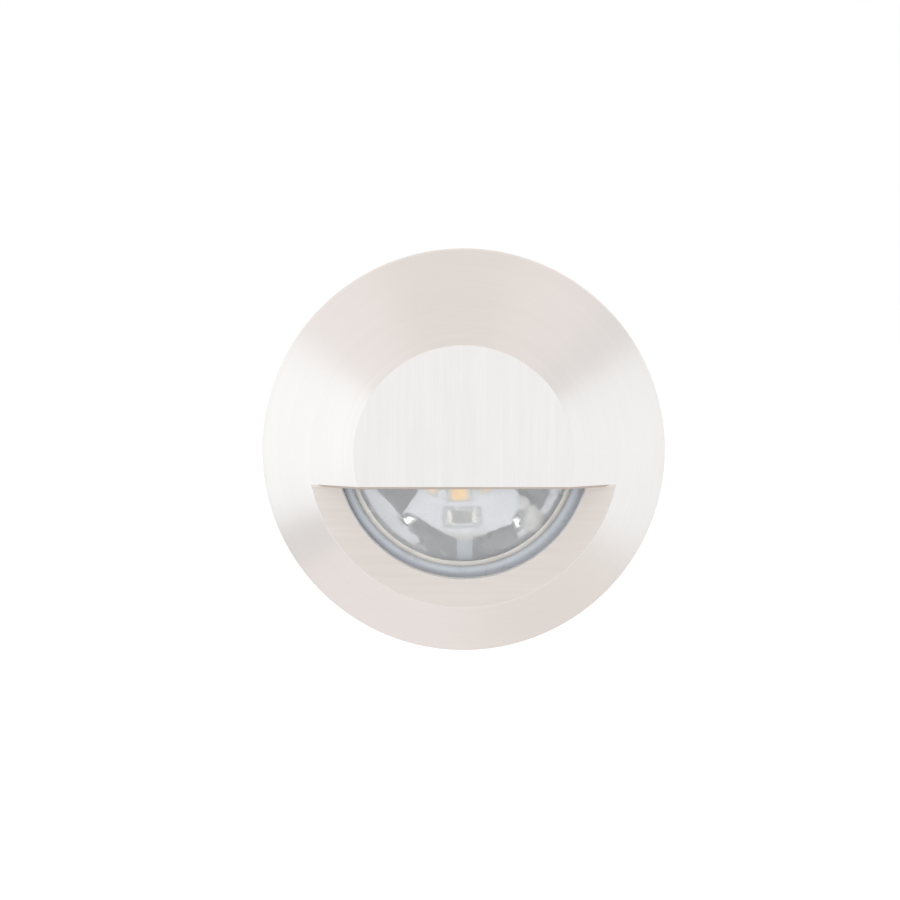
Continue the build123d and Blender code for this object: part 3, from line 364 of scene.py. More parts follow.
# The mask is wear for most finishes and a painted highlight on the face steel.
class EdgeWearAndHighlight(Effect):
    """Rounds the look of edges and marks them, broken up as by handling."""

    name = "edge wear"
    inputs = {"Place": ("Vector", (0, 0, 0)), "Width": ("Float", 0.1)}
    outputs = {"Mask": "Float", "Normal": "Vector"}

    @staticmethod
    def draw(graph: Graph, given: dict[str, Socket]) -> dict[str, Feed]:
        """Compares the rounded normal with the plain one.

        Args:
            graph: The group's graph.
            given: The group's inputs, by name.

        Returns:
            What feeds the group's outputs, by name.
        """
        radius = graph.math("MULTIPLY", given["Width"], MM)
        rounded = graph.add("Bevel", {"Radius": radius}, samples=4).outputs[0]
        plain = graph.add("NewGeometry").outputs["Normal"]
        turn = graph.math("SUBTRACT", 1.0, graph.vector("DOT_PRODUCT", rounded, plain))
        broken = graph.remap(graph.noise(given["Place"], 1.7, 3.0), NOISE_SPAN, (0.35, 1.0))
        mark = graph.remap(turn, (0.01, 0.12), smooth=True)
        return {"Mask": graph.math("MULTIPLY", mark, broken), "Normal": rounded}


class Mottle(Effect):
    """Slow patches and fine grain: Shade is near 1 and multiplies a colour."""

    name = "mottle"
    inputs = {
        "Place": ("Vector", (0, 0, 0)),
        "Patch size": ("Float", 5.0),
        "Grain size": ("Float", 0.3),
        "Grain share": ("Float", 0.3),
        "Amount": ("Float", 0.08),
    }
    outputs = {"Shade": "Float", "Patch": "Float", "Grain": "Float"}

    @staticmethod
    def draw(graph: Graph, given: dict[str, Socket]) -> dict[str, Feed]:
        """Mixes a noise of patches with a noise of grain.

        Args:
            graph: The group's graph.
            given: The group's inputs, by name.

        Returns:
            What feeds the group's outputs, by name.
        """
        patch, grain = (
            graph.noise(graph.scale(given["Place"], graph.math("DIVIDE", 1.0, size)), 1.0, detail)
            for size, detail in ((given["Patch size"], 3.0), (given["Grain size"], 1.0))
        )
        low = graph.math("SUBTRACT", 1.0, given["Amount"])
        spread = graph.mix("FLOAT", given["Grain share"], patch, grain)
        shade = graph.remap(spread, NOISE_SPAN, (low, 1.0))
        return {"Shade": shade, "Patch": patch, "Grain": grain}


class Lines(Enum):
    """Which way the tool marks of a metal piece run."""

    AROUND = "around the light's axis"
    UPRIGHT = "along Z"
    NONE = "no direction"


@dataclass(frozen=True)
class Finish:
    """What every finish has: a name, the record's slot and a seen colour."""

    name: str
    slot: str
    colour: Triple

    def make(self) -> bpy.types.Material:
        """Builds the material.

        Returns:
            The material.
        """
        material = bpy.data.materials.new(self.name)
        graph = Graph.fresh(material)
        shader = graph.add("BsdfPrincipled")
        self.paint(graph, shader)
        graph.add("OutputMaterial", {"Surface": self.surface(graph, shader).outputs[0]})
        return material

    def paint(self, graph: Graph, shader: bpy.types.Node) -> None:
        """Feeds the main shader."""
        raise NotImplementedError

    def surface(self, graph: Graph, shader: bpy.types.Node) -> bpy.types.Node:
        """What the material shows, here the main shader alone."""
        return shader

    def shaded(self, graph: Graph, shade: Feed) -> Socket:
        """The finish's colour, times a shade."""
        tint = graph.join(shade, shade, shade)
        return graph.mix("RGBA", 1.0, tone(self.colour), tint, "MULTIPLY")


@dataclass(frozen=True)
class Metal(Finish):
    """Machined, drawn, plated or cast metal."""

    roughness: float = 0.3
    lines: Lines = Lines.NONE
    pitch: float = 5.0
    change: float = 0.08
    streak_shade: float = 0.1
    relief: float = 0.002
    anisotropy: float = 0.0
    wear: float = 0.12
    edge: float = 0.1
    patch: float = 4.0
    metallic: float = 1.0
    worn_tone: Triple = (246, 245, 243)

    def ways(self, graph: Graph, place: Feed) -> tuple[Feed, Feed]:
        """Where the tool marks lie.

        Args:
            graph: The material's graph.
            place: Position in millimetres.

        Returns:
            The place for the brushing group, and the direction that the marks run in.
        """
        if self.lines is Lines.AROUND:
            return graph.turned(place, 1.0)
        x, y, z = graph.split(place)
        return graph.join(graph.math("ADD", x, y), z, 0.0), (0, 0, 1)

    def paint(self, graph: Graph, shader: bpy.types.Node) -> None:
        """Lays out the metal.

        Args:
            graph: The material's graph.
            shader: Its main shader.
        """
        place = graph.place_mm()
        feeds = {"Place": place, "Patch size": self.patch, "Amount": 0.06, "Grain share": 0.25}
        mottle = Mottle.use(graph, feeds)
        edge = EdgeWearAndHighlight.use(graph, {"Place": place, "Width": self.edge})
        shade, height = mottle["Shade"], mottle["Grain"]
        rough = graph.remap(mottle["Patch"], NOISE_SPAN, about(self.roughness, 0.12))
        if self.lines is not Lines.NONE:
            marks, way = self.ways(graph, place)
            feeds = {"Place": marks, "Lines per mm": self.pitch, "Change along": self.change}
            height = Brushing.use(graph, feeds)["Streak"]
            lighter = graph.remap(height, RISE, (1.0 - self.streak_shade, 1.0))
            shade = graph.math("MULTIPLY", shade, lighter)
            rough = graph.math("MULTIPLY", rough, graph.remap(height, RISE, (1.1, 0.9)))
            if self.anisotropy:
                normal = graph.add("NewGeometry").outputs["Normal"]
                tangent = graph.vector("CROSS_PRODUCT", normal, way)
                graph.fill(shader, {"Tangent": tangent, "Anisotropic": self.anisotropy})
        worn = graph.math("MULTIPLY", edge["Mask"], self.wear)
        colour = graph.mix("RGBA", worn, self.shaded(graph, shade), tone(self.worn_tone))
        normal = graph.bump(self.relief, height, edge["Normal"])
        feeds = {"Base Color": colour, "Roughness": rough, "Normal": normal}
        graph.fill(shader, {**feeds, "Metallic": self.metallic})


@dataclass(frozen=True)
class FaceSteel(Finish):
    """Stainless face: turned cone, upright lines on the top, level ones on the crescent's floor.

    The top lies in front of top_before and the floor at floor_depth. A part is level from
    level_facing on and looks down from under_facing on. Edges near the floor's depth get a
    painted white highlight line, and the lid's downward faces a painted shade tone.
    """

    roughness: float = 0.44
    anisotropy: float = 0.97
    top_before: float = -10.0
    floor_depth: float = -7.0
    level_facing: float = -0.97
    under_facing: float = -0.5
    pitch: float = 5.0
    change: float = 0.12
    streak_shade: float = 0.045
    relief: float = 0.0012
    turned_share: float = 0.55
    edge: float = 0.05
    # Painted highlight: width, reach, strength and tone of a white line painted on edges near the
    # floor's depth.
    highlight_edge: float = 0.25
    highlight_reach: float = 0.8
    highlight_strength: float = 3.0
    highlight_tone: Triple = (255, 255, 255)
    # Painted shade: a darker, warmer tone on the lid's downward-facing faces.
    lid_shade_tone: Triple = (204, 192, 183)

    def paint(self, graph: Graph, shader: bpy.types.Node) -> None:
        """Lays out the three brushed parts, the crescent's rim and the lid's edge.

        The rim's edges get a painted white highlight line, the lid's downward faces painted shade.

        Args:
            graph: The material's graph.
            shader: Its main shader.
        """
        place = graph.place_mm()
        x, y, z = graph.split(place)
        _, facing, rising = graph.split(graph.add("TexCoord").outputs["Normal"])
        level = graph.math("LESS_THAN", facing, self.level_facing)
        top = graph.math("MULTIPLY", level, graph.math("LESS_THAN", y, self.top_before))
        floor = graph.math("SUBTRACT", level, top)
        marks, way = graph.turned(place, 0.5)
        upright, sideways = graph.join(x, z, 40.0), graph.join(z, x, 80.0)
        for part, straight, run in ((top, upright, (0, 0, 1)), (floor, sideways, (1, 0, 0))):
            marks = graph.mix("VECTOR", part, marks, straight)
            way = graph.mix("VECTOR", part, way, run)

        feeds = {"Place": marks, "Lines per mm": self.pitch, "Change along": self.change}
        calm = graph.mix("FLOAT", level, self.turned_share, 1.0)
        streak = graph.mix("FLOAT", calm, 0.5, Brushing.use(graph, feeds)["Streak"])
        feeds = {"Place": place, "Patch size": 9.0, "Amount": 0.015, "Grain share": 0.2}
        mottle = Mottle.use(graph, feeds)
        edge = EdgeWearAndHighlight.use(graph, {"Place": place, "Width": self.edge})
        highlight_edge = EdgeWearAndHighlight.use(graph, {"Place": place, "Width": self.highlight_edge})

        lighter = graph.remap(streak, RISE, (1.0 - self.streak_shade, 1.0))
        colour = self.shaded(graph, graph.math("MULTIPLY", mottle["Shade"], lighter))
        # Painted shade on the lid's downward faces in front of the floor.
        below = graph.math("LESS_THAN", rising, self.under_facing)
        ahead = graph.math("LESS_THAN", y, self.floor_depth - self.highlight_reach)
        painted_lid_shade = graph.math("MULTIPLY", below, ahead)
        colour = graph.mix("RGBA", painted_lid_shade, colour, tone(self.lid_shade_tone))
        # Painted highlight: edges near the floor's depth are painted white.
        near_floor = graph.math("COMPARE", y, self.floor_depth, self.highlight_reach)
        marked = graph.math("MULTIPLY", highlight_edge["Mask"], self.highlight_strength, clamp=True)
        worn = graph.math("MULTIPLY", marked, near_floor)
        normal = graph.add("NewGeometry").outputs["Normal"]
        feeds = {
            "Base Color": graph.mix("RGBA", worn, colour, tone(self.highlight_tone)),
            "Roughness": graph.remap(streak, RISE, about(self.roughness, 0.05)[::-1]),
            "Normal": graph.bump(self.relief, streak, edge["Normal"]),
            "Tangent": graph.vector("CROSS_PRODUCT", normal, way),
            "Metallic": 1.0,
            "Anisotropic": self.anisotropy,
        }
        graph.fill(shader, feeds)


@dataclass(frozen=True)
class Moulded(Finish):
    """Plastic, rubber, lacquer or foam."""

    roughness: float = 0.4
    grain: float = 0.3
    relief: float = 0.006
    grain_share: float = 0.3
    amount: float = 0.1
    patch: float = 4.0
    edge: float = 0.1
    wear: float = 0.15
    coat: float = 0.0

    def tinted(self, graph: Graph, place: Feed, colour: Feed) -> Feed:
        """The colour with what a special finish adds to it, here nothing."""
        return colour

    def paint(self, graph: Graph, shader: bpy.types.Node) -> None:
        """Lays out the grained surface, which is lighter where its edges are worn.

        Args:
            graph: The material's graph.
            shader: Its main shader.
        """
        place = graph.place_mm()
        feeds = {
            "Place": place,
            "Patch size": self.patch,
            "Grain size": self.grain,
            "Grain share": self.grain_share,
            "Amount": self.amount,
        }
        mottle = Mottle.use(graph, feeds)
        edge = EdgeWearAndHighlight.use(graph, {"Place": place, "Width": self.edge})
        colour = self.tinted(graph, place, self.shaded(graph, mottle["Shade"]))
        lighter = tone([min(255.0, value + 45.0) for value in self.colour])
        worn = graph.math("MULTIPLY", edge["Mask"], self.wear)
        feeds = {
            "Base Color": graph.mix("RGBA", worn, colour, lighter),
            "Roughness": graph.remap(mottle["Patch"], NOISE_SPAN, about(self.roughness, 0.15)),
            "Normal": graph.bump(self.relief, mottle["Grain"], edge["Normal"]),
            "Coat Weight": self.coat,
        }
        graph.fill(shader, feeds)


@dataclass(frozen=True)
class PhosphorGel(Moulded):
    """Fill of the LEDs, with a faint painted glow: emission although the LEDs are unlit."""

    # Painted glow: colour and strength of the emission of the unlit gel.
    painted_glow_tone: Triple = (255, 190, 130)
    glow: float = 0.16
    speck_scale: float = 3.0
    speck_share: float = 0.3

    def paint(self, graph: Graph, shader: bpy.types.Node) -> None:
        """Adds the painted glow, an emission, to the moulded surface.

        Args:
            graph: The material's graph.
            shader: Its main shader.
        """
        super().paint(graph, shader)
        speck = graph.noise(graph.place_mm(), self.speck_scale)
        share = graph.remap(speck, NOISE_SPAN, (0.0, self.speck_share))
        # Painted glow, flecked with the gel's own colour.
        glow = graph.mix("RGBA", share, tone(self.painted_glow_tone), tone(self.colour))
        graph.fill(shader, {"Emission Color": glow, "Emission Strength": self.glow})


@dataclass(frozen=True)
class Rings(Moulded):
    """Moulding whose colour changes by radius about the light's axis, as painted shade and light.
    """

    span: Point = RISE
    inner_tone: Triple = (255, 255, 255)
    outer_tone: Triple = (255, 255, 255)

    def tinted(self, graph: Graph, place: Feed, colour: Feed) -> Feed:
        """Painted shade and light by the distance from the light's axis.

        Args:
            graph: The material's graph.
            place: Position in millimetres.
            colour: The plain colour.

        Returns:
            The tinted colour.
        """
        way = graph.remap(graph.off_axis(place), self.span, smooth=True)
        ring = graph.mix("RGBA", way, tone(self.inner_tone), tone(self.outer_tone))
        return graph.mix("RGBA", 1.0, colour, ring, "MULTIPLY")


@dataclass(frozen=True)
class PadSheet(Rings):
    """Grey sheet with painted light: a paler rim beyond the board's bands, but not at its foot."""

    rim: Point = (15.3, 15.9)
    foot: Point = (-4.5, 6.5)
    fade: float = 1.4

    def tinted(self, graph: Graph, place: Feed, colour: Feed) -> Feed:
        """Painted shade and light by radius, and at the rim from side to side.

        Args:
            graph: The material's graph.
            place: Position in millimetres.
            colour: The plain colour.

        Returns:
            The tinted colour.
        """
        x = graph.split(place)[0]
        out = graph.remap(graph.off_axis(place), self.rim, smooth=True)
        left = graph.remap(x, (self.foot[0] - self.fade, self.foot[0]), FALL, smooth=True)
        right = graph.remap(x, (self.foot[1], self.foot[1] + self.fade), smooth=True)
        # Painted light: at the rim beyond the bands the painted ring shade is lifted, except at
        # the foot.
        pale = graph.math("MULTIPLY", out, graph.math("MAXIMUM", left, right))
        return graph.mix("RGBA", pale, super().tinted(graph, place, colour), colour)


@dataclass(frozen=True)
class BoardLacquer(Moulded):
    """White solder mask with painted shade by the spokes: cream at the hub's edge, grey-blue
    beyond.

    The spans are radii, but spoke_span is of the cosine that is 1 in the middle of a spoke.
    """

    # Painted shade: tones and spans of the cream hub edge and the grey-blue spokes.
    rim_span: Point = (11.9, 13.2)
    rim_share: float = 0.85
    hub_edge_shade_tone: Triple = (214, 210, 202)
    outside_span: Point = (13.1, 13.8)
    spoke_shade_tone: Triple = (187, 192, 201)
    spoke_span: Point = (0.45, 0.75)
    spoke_count: float = 3.0
    turn: float = BOARD_TURN

    def tinted(self, graph: Graph, place: Feed, colour: Feed) -> Feed:
        """Painted shade by the distance from the hub's middle and by the nearness of a spoke.

        Args:
            graph: The material's graph.
            place: Position in millimetres.
            colour: The plain lacquer's colour.

        Returns:
            The tinted colour.
        """
        x, _, z = graph.split(place)
        radius = graph.off_axis(place)
        angle = graph.math("ADD", graph.math("ARCTAN2", z, x), math.radians(90.0 - self.turn))
        spoke = graph.math("COSINE", graph.math("MULTIPLY", angle, self.spoke_count))
        near_spoke = graph.remap(spoke, self.spoke_span, smooth=True)
        rim = graph.remap(radius, self.rim_span, (0.0, self.rim_share), smooth=True)
        outside = graph.remap(radius, self.outside_span, smooth=True)
        # Painted shade near the spokes: cream at the hub's edge, grey-blue outside the hub.
        for share, seen in ((rim, self.hub_edge_shade_tone), (outside, self.spoke_shade_tone)):
            share = graph.math("MULTIPLY", share, near_spoke)
            colour = graph.mix("RGBA", share, colour, tone(seen))
        return colour


@dataclass(frozen=True)
class LensGlass(Finish):
    """Clear glass, polished in front and satin behind, which lets lamps light what it covers."""

    front_roughness: float = 0.02
    back_roughness: float = 0.28
    back_from: float = -3.4
    grain: float = 0.22
    haze: float = 0.1
    edge: float = 0.03

    def paint(self, graph: Graph, shader: bpy.types.Node) -> None:
        """Lays out the glass.

        Args:
            graph: The material's graph.
            shader: Its main shader.
        """
        place = graph.place_mm()
        feeds = {"Place": place, "Patch size": 3.0, "Grain size": self.grain}
        mottle = Mottle.use(graph, {**feeds, "Grain share": 0.95, "Amount": self.haze})
        behind = graph.math("GREATER_THAN", graph.split(place)[1], self.back_from)
        feeds = {
            "Base Color": self.shaded(graph, mottle["Shade"]),
            "Roughness": graph.mix("FLOAT", behind, self.front_roughness, self.back_roughness),
            "Normal": EdgeWearAndHighlight.use(graph, {"Place": place, "Width": self.edge})["Normal"],
            "IOR": 1.5,
            "Transmission Weight": 1.0,
        }
        graph.fill(shader, feeds)

    def surface(self, graph: Graph, shader: bpy.types.Node) -> bpy.types.Node:
        """The glass, but clear to the lamps' light."""
        clear = graph.add("BsdfTransparent", {"Color": tone(self.colour)})
        return graph.blend(graph.rays("Is Shadow Ray", "Is Diffuse Ray"), shader, clear)


@dataclass(frozen=True)
class GroundGlass(Finish):
    """Bevel of the lens, ground and left satin, tinted cream as a painted reflection of the steel.
    """

    opacity: float = 0.93

    def paint(self, graph: Graph, shader: bpy.types.Node) -> None:
        """Lays out the ground glass.

        Args:
            graph: The material's graph.
            shader: Its main shader.
        """
        place = graph.place_mm()
        marks = graph.join(graph.off_axis(place), 0.0, 0.0)
        feeds = {"Place": marks, "Lines per mm": 3.0, "Change along": 0.1}
        streak = Brushing.use(graph, feeds)["Streak"]
        feeds = {"Place": place, "Patch size": 2.5, "Amount": 0.08, "Grain share": 0.5}
        mottle = Mottle.use(graph, feeds)
        shade = graph.math("MULTIPLY", mottle["Shade"], graph.remap(streak, RISE, (0.9, 1.0)))
        alpha = (self.opacity - 0.06, self.opacity + 0.06)
        feeds = {
            "Base Color": self.shaded(graph, shade),
            "Roughness": graph.remap(streak, RISE, (0.45, 0.6)),
            "Alpha": graph.remap(mottle["Patch"], NOISE_SPAN, alpha),
        }
        graph.fill(shader, feeds)


@dataclass(frozen=True)
class Translucent(Finish):
    """Cloudy sealant that shows a little of what lies under it."""

    opacity: float = 0.8

    def paint(self, graph: Graph, shader: bpy.types.Node) -> None:
        """Lays out the sealant.

        Args:
            graph: The material's graph.
            shader: Its main shader.
        """
        feeds = {"Patch size": 1.2, "Amount": 0.1, "Grain share": 0.2}
        mottle = Mottle.use(graph, {"Place": graph.place_mm(), **feeds})
        alpha = (self.opacity - 0.15, self.opacity + 0.15)
        feeds = {
            "Base Color": self.shaded(graph, mottle["Shade"]),
            "Roughness": graph.remap(mottle["Patch"], NOISE_SPAN, (0.2, 0.4)),
            "Alpha": graph.remap(mottle["Patch"], NOISE_SPAN, alpha),
        }
        graph.fill(shader, feeds)


class Wardrobe:
    """All finishes, each made into a material the first time that a piece wears it."""

    FINISHES: ClassVar[dict[str, Finish]] = {
        finish.name: finish
        for finish in (
            FaceSteel("face_steel", "brushed_face", (245, 237, 231)),
            Metal(
                "turned_steel", "turned_body", (200, 196, 191), roughness=0.34,
                lines=Lines.AROUND, pitch=4.0, change=0.05, relief=0.004, anisotropy=0.6,
            ),
            LensGlass("lens_glass", "clear_glass", (250, 251, 251)),
            # Painted reflection: the cream tint stands for the warm steel seen in the bevel.
            GroundGlass("ground_edge", "clear_glass", (238, 233, 226)),
            # Painted shade: the gasket darkens from its inner edge to its outer edge.
            Rings(
                "silicone", "grey_silicone", (199, 205, 213), roughness=0.3, grain=0.4,
                relief=0.004, amount=0.12, patch=2.0, edge=0.05, wear=0.1, coat=0.5,
                span=(17.2, 18.6), inner_tone=(250, 250, 249), outer_tone=(226, 226, 226),
            ),
            Moulded(
                "seal_foam", "black_rubber", (38, 38, 40), roughness=0.85, grain=0.22,
                relief=0.05, grain_share=0.7, amount=0.35, patch=3.0, wear=0.1,
            ),
            Moulded(
                "rubber", "black_rubber", (34, 34, 36), roughness=0.55, relief=0.01,
                grain_share=0.5, amount=0.2, patch=3.0, wear=0.12,
            ),
            BoardLacquer(
                "board_lacquer", "white_board", (245, 245, 252),
                relief=0.004, grain_share=0.2, amount=0.04, edge=0.08,
            ),
            Moulded(
                "mask_edge", "white_board", (204, 205, 206), roughness=0.45,
                relief=0.004, grain_share=0.2, amount=0.05, patch=1.0, edge=0.05,
            ),
            Moulded(
                "led_case", "led_white", (214, 214, 211), roughness=0.35, grain=0.2,
                relief=0.003, grain_share=0.2, amount=0.06, patch=1.0, edge=0.05,
            ),
            PhosphorGel(
                "led_gel", "led_fill", (255, 212, 148), roughness=0.3, grain=0.25,
                relief=0.01, grain_share=0.4, amount=0.06, patch=1.0, edge=0.03, wear=0.0,
            ),
            Moulded(
                "resistor_cover", "resistor_dark", (190, 190, 187), roughness=0.45,
                grain=0.16, grain_share=0.8, amount=0.3, patch=1.0, edge=0.05,
            ),
            Metal(
                "tinned_ends", "tinned", (182, 179, 173), roughness=0.5,
                relief=0.006, edge=0.08, patch=0.4,
            ),
            # Real tin pads, dulled to a grey that also paints the shade beside each LED.
            Metal(
                "dull_tin", "tinned", (176, 175, 172), roughness=0.5,
                relief=0.006, edge=0.05, patch=0.6,
            ),
            Metal(
                "solder", "solder", (255, 255, 253), roughness=0.2,
                relief=0.02, edge=0.05, patch=0.6, metallic=0.9,
            ),
            Translucent("sealant", "grey_silicone", (255, 253, 250)),
            # Painted shade: darker near the hub and paler outwards; the sheet's grey and grain are
            # its own.
            PadSheet(
                "pad", "pad_grey", (252, 252, 255), roughness=0.7, grain=0.45, relief=0.02,
                grain_share=0.92, amount=0.9, patch=2.0, edge=0.05, wear=0.0,
                span=(13.2, 15.4), inner_tone=(190, 190, 192), outer_tone=(212, 212, 214),
            ),
            Metal(
                "aluminium", "aluminium", (190, 191, 192), roughness=0.4,
                lines=Lines.AROUND, change=0.06, streak_shade=0.08, relief=0.003,
            ),
            Metal(
                "nickel", "nickel", (212, 206, 196), roughness=0.24,
                lines=Lines.AROUND, streak_shade=0.06, relief=0.0015, anisotropy=0.3,
            ),
            Metal(
                "screw_steel", "screw_steel", (196, 194, 190),
                lines=Lines.AROUND, pitch=7.0, change=0.2,
            ),
            Metal(
                "spring_steel", "spring_steel", (190, 186, 180),
                lines=Lines.UPRIGHT, pitch=6.0, change=0.1,
            ),
            Metal(
                "spring_wire", "spring_steel", (176, 173, 168), roughness=0.26,
                relief=0.003, edge=0.04,
            ),
            Metal(
                "can", "can", (198, 198, 200), roughness=0.32,
                lines=Lines.UPRIGHT, change=0.05, streak_shade=0.06,
            ),
            Moulded(
                "green_board", "green_board", (34, 92, 62), roughness=0.35,
                amount=0.15, patch=3.0, coat=0.4,
            ),
            Moulded(
                "chip_black", "chip_black", (36, 37, 40), roughness=0.55,
                grain=0.15, grain_share=0.5, amount=0.15,
            ),
            Moulded(
                "white_plastic", "white_plastic", (244, 245, 246), roughness=0.45, amount=0.04
            ),
            Moulded(
                "terminal_green", "terminal_green", (44, 128, 84), roughness=0.42, relief=0.008
            ),
            Moulded("lead_red", "lead_red", (168, 40, 38)),
            Moulded("lead_black", "lead_black", (40, 40, 42)),
        )
    }

    def __init__(self) -> None:
        """Starts with no material made."""
        self.made: dict[str, bpy.types.Material] = {}

    def material(self, name: str) -> bpy.types.Material:
        """Gives the material of a finish.

        Args:
            name: The finish.

        Returns:
            Its material.
        """
        if name not in self.made:
            self.made[name] = self.FINISHES[name].make()
        return self.made[name]

    def dress(self, piece: bpy.types.Object, name: str) -> None:
        """Gives a piece a finish in all its material slots.

        Args:
            piece: A new piece or a CAD node.
            name: The finish.
        """
        material = self.material(name)
        if not piece.material_slots:
            piece.data.materials.append(material)
        for worn in piece.material_slots:
            worn.material = material
        log.info("%s wears %s", piece.name, name)


# ---------------------------------------------------------------- meshes


def new_piece(
    name: str,
    points: Iterable[Sequence[float]],
    faces: Iterable[Sequence[int]],
    body: str,
    sharp: float = 40.0,
) -> bpy.types.Object:
    """Makes a piece from points and faces and lets it ride on a body.

    Args:
        name: The piece's name.
        points: Its vertices in metres.
        faces: Vertex numbers of each face.
        body: The CAD body that it moves with.
        sharp: Angle in degrees from which an edge stays sharp.

    Returns:
        The piece.
    """
    mesh = bpy.data.meshes.new(name)
    mesh.from_pydata([tuple(point) for point in points], [], [list(face) for face in faces])
    outward = bmesh.new()
    outward.from_mesh(mesh)
    bmesh.ops.recalc_face_normals(outward, faces=outward.faces)
    outward.to_mesh(mesh)
    outward.free()
    mesh.shade_smooth()
    mesh.set_sharp_from_angle(angle=math.radians(sharp))
    piece = bpy.data.objects.new(name, mesh)
    bpy.context.scene.collection.objects.link(piece)
    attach(piece, body)
    return piece


def turns(count: int) -> list[float]:
    """Angles of evenly spaced points round a circle, in radians."""
    return [2 * math.pi * i / count for i in range(count)]


def hoops(rings: int, count: int, start: int = 0) -> list[Sequence[int]]:
    """Faces between closed rings of vertices that follow one another.

    Args:
        rings: How many rings there are.
        count: Vertices of each ring.
        start: Number of the first vertex.

    Returns:
        A face for each step of each ring but the last.
    """
    return [
        [ring + i, ring + (i + 1) % count, ring + count + (i + 1) % count, ring + count + i]
        for ring in range(start, start + (rings - 1) * count, count)
        for i in range(count)
    ]


def tube(path: Sequence[Vector], radius: float, sides: int = 14) -> Mesh:
    """Round tube with closed, slightly drawn-in ends along a path.

    Args:
        path: Points of the centreline in metres.
        radius: Radius in metres.
        sides: Corners of the section.

    Returns:
        Vertices and faces.
    """
    end, past, drawn_in = len(path) - 1, radius * 0.15, 0.8
    ways = [(path[min(i + 1, end)] - path[max(i - 1, 0)]).normalized() for i in range(end + 1)]
    aside = ways[0].orthogonal().normalized()
    stations = [
        (path[0] - ways[0] * past, ways[0], drawn_in),
        *((point, way, 1.0) for point, way in zip(path, ways)),
        (path[-1] + ways[-1] * past, ways[-1], drawn_in),
    ]
    points: list[Vector] = []
    for centre, way, share in stations:
        aside = (aside - way * aside.dot(way)).normalized()
        other = way.cross(aside)
        for turn in turns(sides):
            out = aside * math.cos(turn) + other * math.sin(turn)
            points.append(centre + out * radius * share)
    faces = hoops(len(stations), sides)
    faces += [list(range(sides))[::-1], list(range(len(points) - sides, len(points)))]
    return points, faces


def spun(profile: Sequence[Triple], sides: int = 192) -> Mesh:
    """Closed body turned about the light's axis.

    Args:
        profile: Corners as (radius, depth, sideways shift) in millimetres, in order round the
            section. A first and last corner of radius 0 close the body on the axis.
        sides: Steps of the turn.

    Returns:
        Vertices, and faces in strips of one strip for each run of the profile.
    """
    points: list[Vector] = []
    rows: list[list[int]] = []
    for radius, depth, shift in profile:
        start, count = len(points), sides if radius else 1
        for turn in turns(sides)[:count]:
            x, z = shift + radius * math.cos(turn), radius * math.sin(turn)
            points.append(Vector((x, depth, z)) * MM)
        rows.append([start + i % count for i in range(sides + 1)])
    if profile[0][0]:
        rows.append(rows[0])
    faces = [
        list(dict.fromkeys((near[i], near[i + 1], far[i + 1], far[i])))
        for near, far in zip(rows, rows[1:])
        for i in range(sides)
    ]
    return points, faces


def round_corners(line: list[Point], step: float = 0.45, rounds: int = 2) -> list[Point]:
    """Divides a closed outline evenly and takes off its corners.

    Args:
        line: The outline's corners in millimetres.
        step: Greatest distance between two of its points before the corners go.
        rounds: How often each corner is cut at a quarter of its sides.

    Returns:
        The outline with rounded corners.
    """
    fine: list[Point] = []
    for (ax, az), (bx, bz) in zip(line, line[1:] + line[:1]):
        parts = max(1, math.ceil(math.dist((ax, az), (bx, bz)) / step))
        fine += [(ax + (bx - ax) * i / parts, az + (bz - az) * i / parts) for i in range(parts)]
    for _ in range(rounds):
        fine = [
            (ax + (bx - ax) * share, az + (bz - az) * share)
            for (ax, az), (bx, bz) in zip(fine, fine[1:] + fine[:1])
            for share in (0.25, 0.75)
        ]
    return fine


def slab(loops: list[list[Point]], front: float, back: float) -> Mesh:
    """Flat plate across the light's axis, with holes.

    Args:
        loops: Its outline and then the outline of each hole, (x, z) in millimetres.
        front: Depth of its front.
        back: Depth of its back.

    Returns:
        Vertices in metres and faces.
    """
    flat = [corner for loop in loops for corner in loop]
    points = [Vector((x, depth, z)) * MM for depth in (front, back) for x, z in flat]
    triangles = tessellate_polygon([[Vector((x, z, 0)) for x, z in loop] for loop in loops])
    faces: list[Sequence[int]] = [list(face) for face in triangles]
    faces += [[len(flat) + i for i in reversed(face)] for face in triangles]
    start = 0
    for loop in loops:
        count = len(loop)
        ring = [(start + i, start + (i + 1) % count) for i in range(count)]
        faces += [[i, k, len(flat) + k, len(flat) + i] for i, k in ring]
        start += count
    return points, faces


def rounded_rectangle(width: float, height: float, corner: float, steps: int = 5) -> list[Point]:
    """Outline of a rectangle about the origin with rounded corners, anticlockwise.

    Args:
        width: Its size along x.
        height: Its size along y.
        corner: Radius of its corners.
        steps: Steps of each corner.

    Returns:
        The outline's points.
    """
    x, y = width / 2 - corner, height / 2 - corner
    outline = []
    for quarter, (x_sign, y_sign) in enumerate(((1, 1), (-1, 1), (-1, -1), (1, -1))):
        for i in range(steps + 1):
            turn = math.radians(90 * (quarter + i / steps))
            point = (x_sign * x + corner * math.cos(turn), y_sign * y + corner * math.sin(turn))
            outline.append(point)
    return outline


def blot(width: float, height: float, seed: int, count: int) -> list[Point]:
    """Irregular round outline.

    Args:
        width: Its size along x.
        height: Its size along y.
        seed: Start of the chance that makes it irregular.
        count: How many points it has.

    Returns:
        The outline's points.
    """
    chance = random.Random(seed)
    waves = [(k, chance.uniform(0.02, 0.09), chance.uniform(0, 6.28)) for k in (2, 3, 5)]
    outline = []
    for turn in turns(count):
        share = 1 + sum(a * math.sin(k * turn + b) for k, a, b in waves)
        x, y = width / 2 * share * math.cos(turn), height / 2 * share * math.sin(turn)
        outline.append((x, y))
    return outline


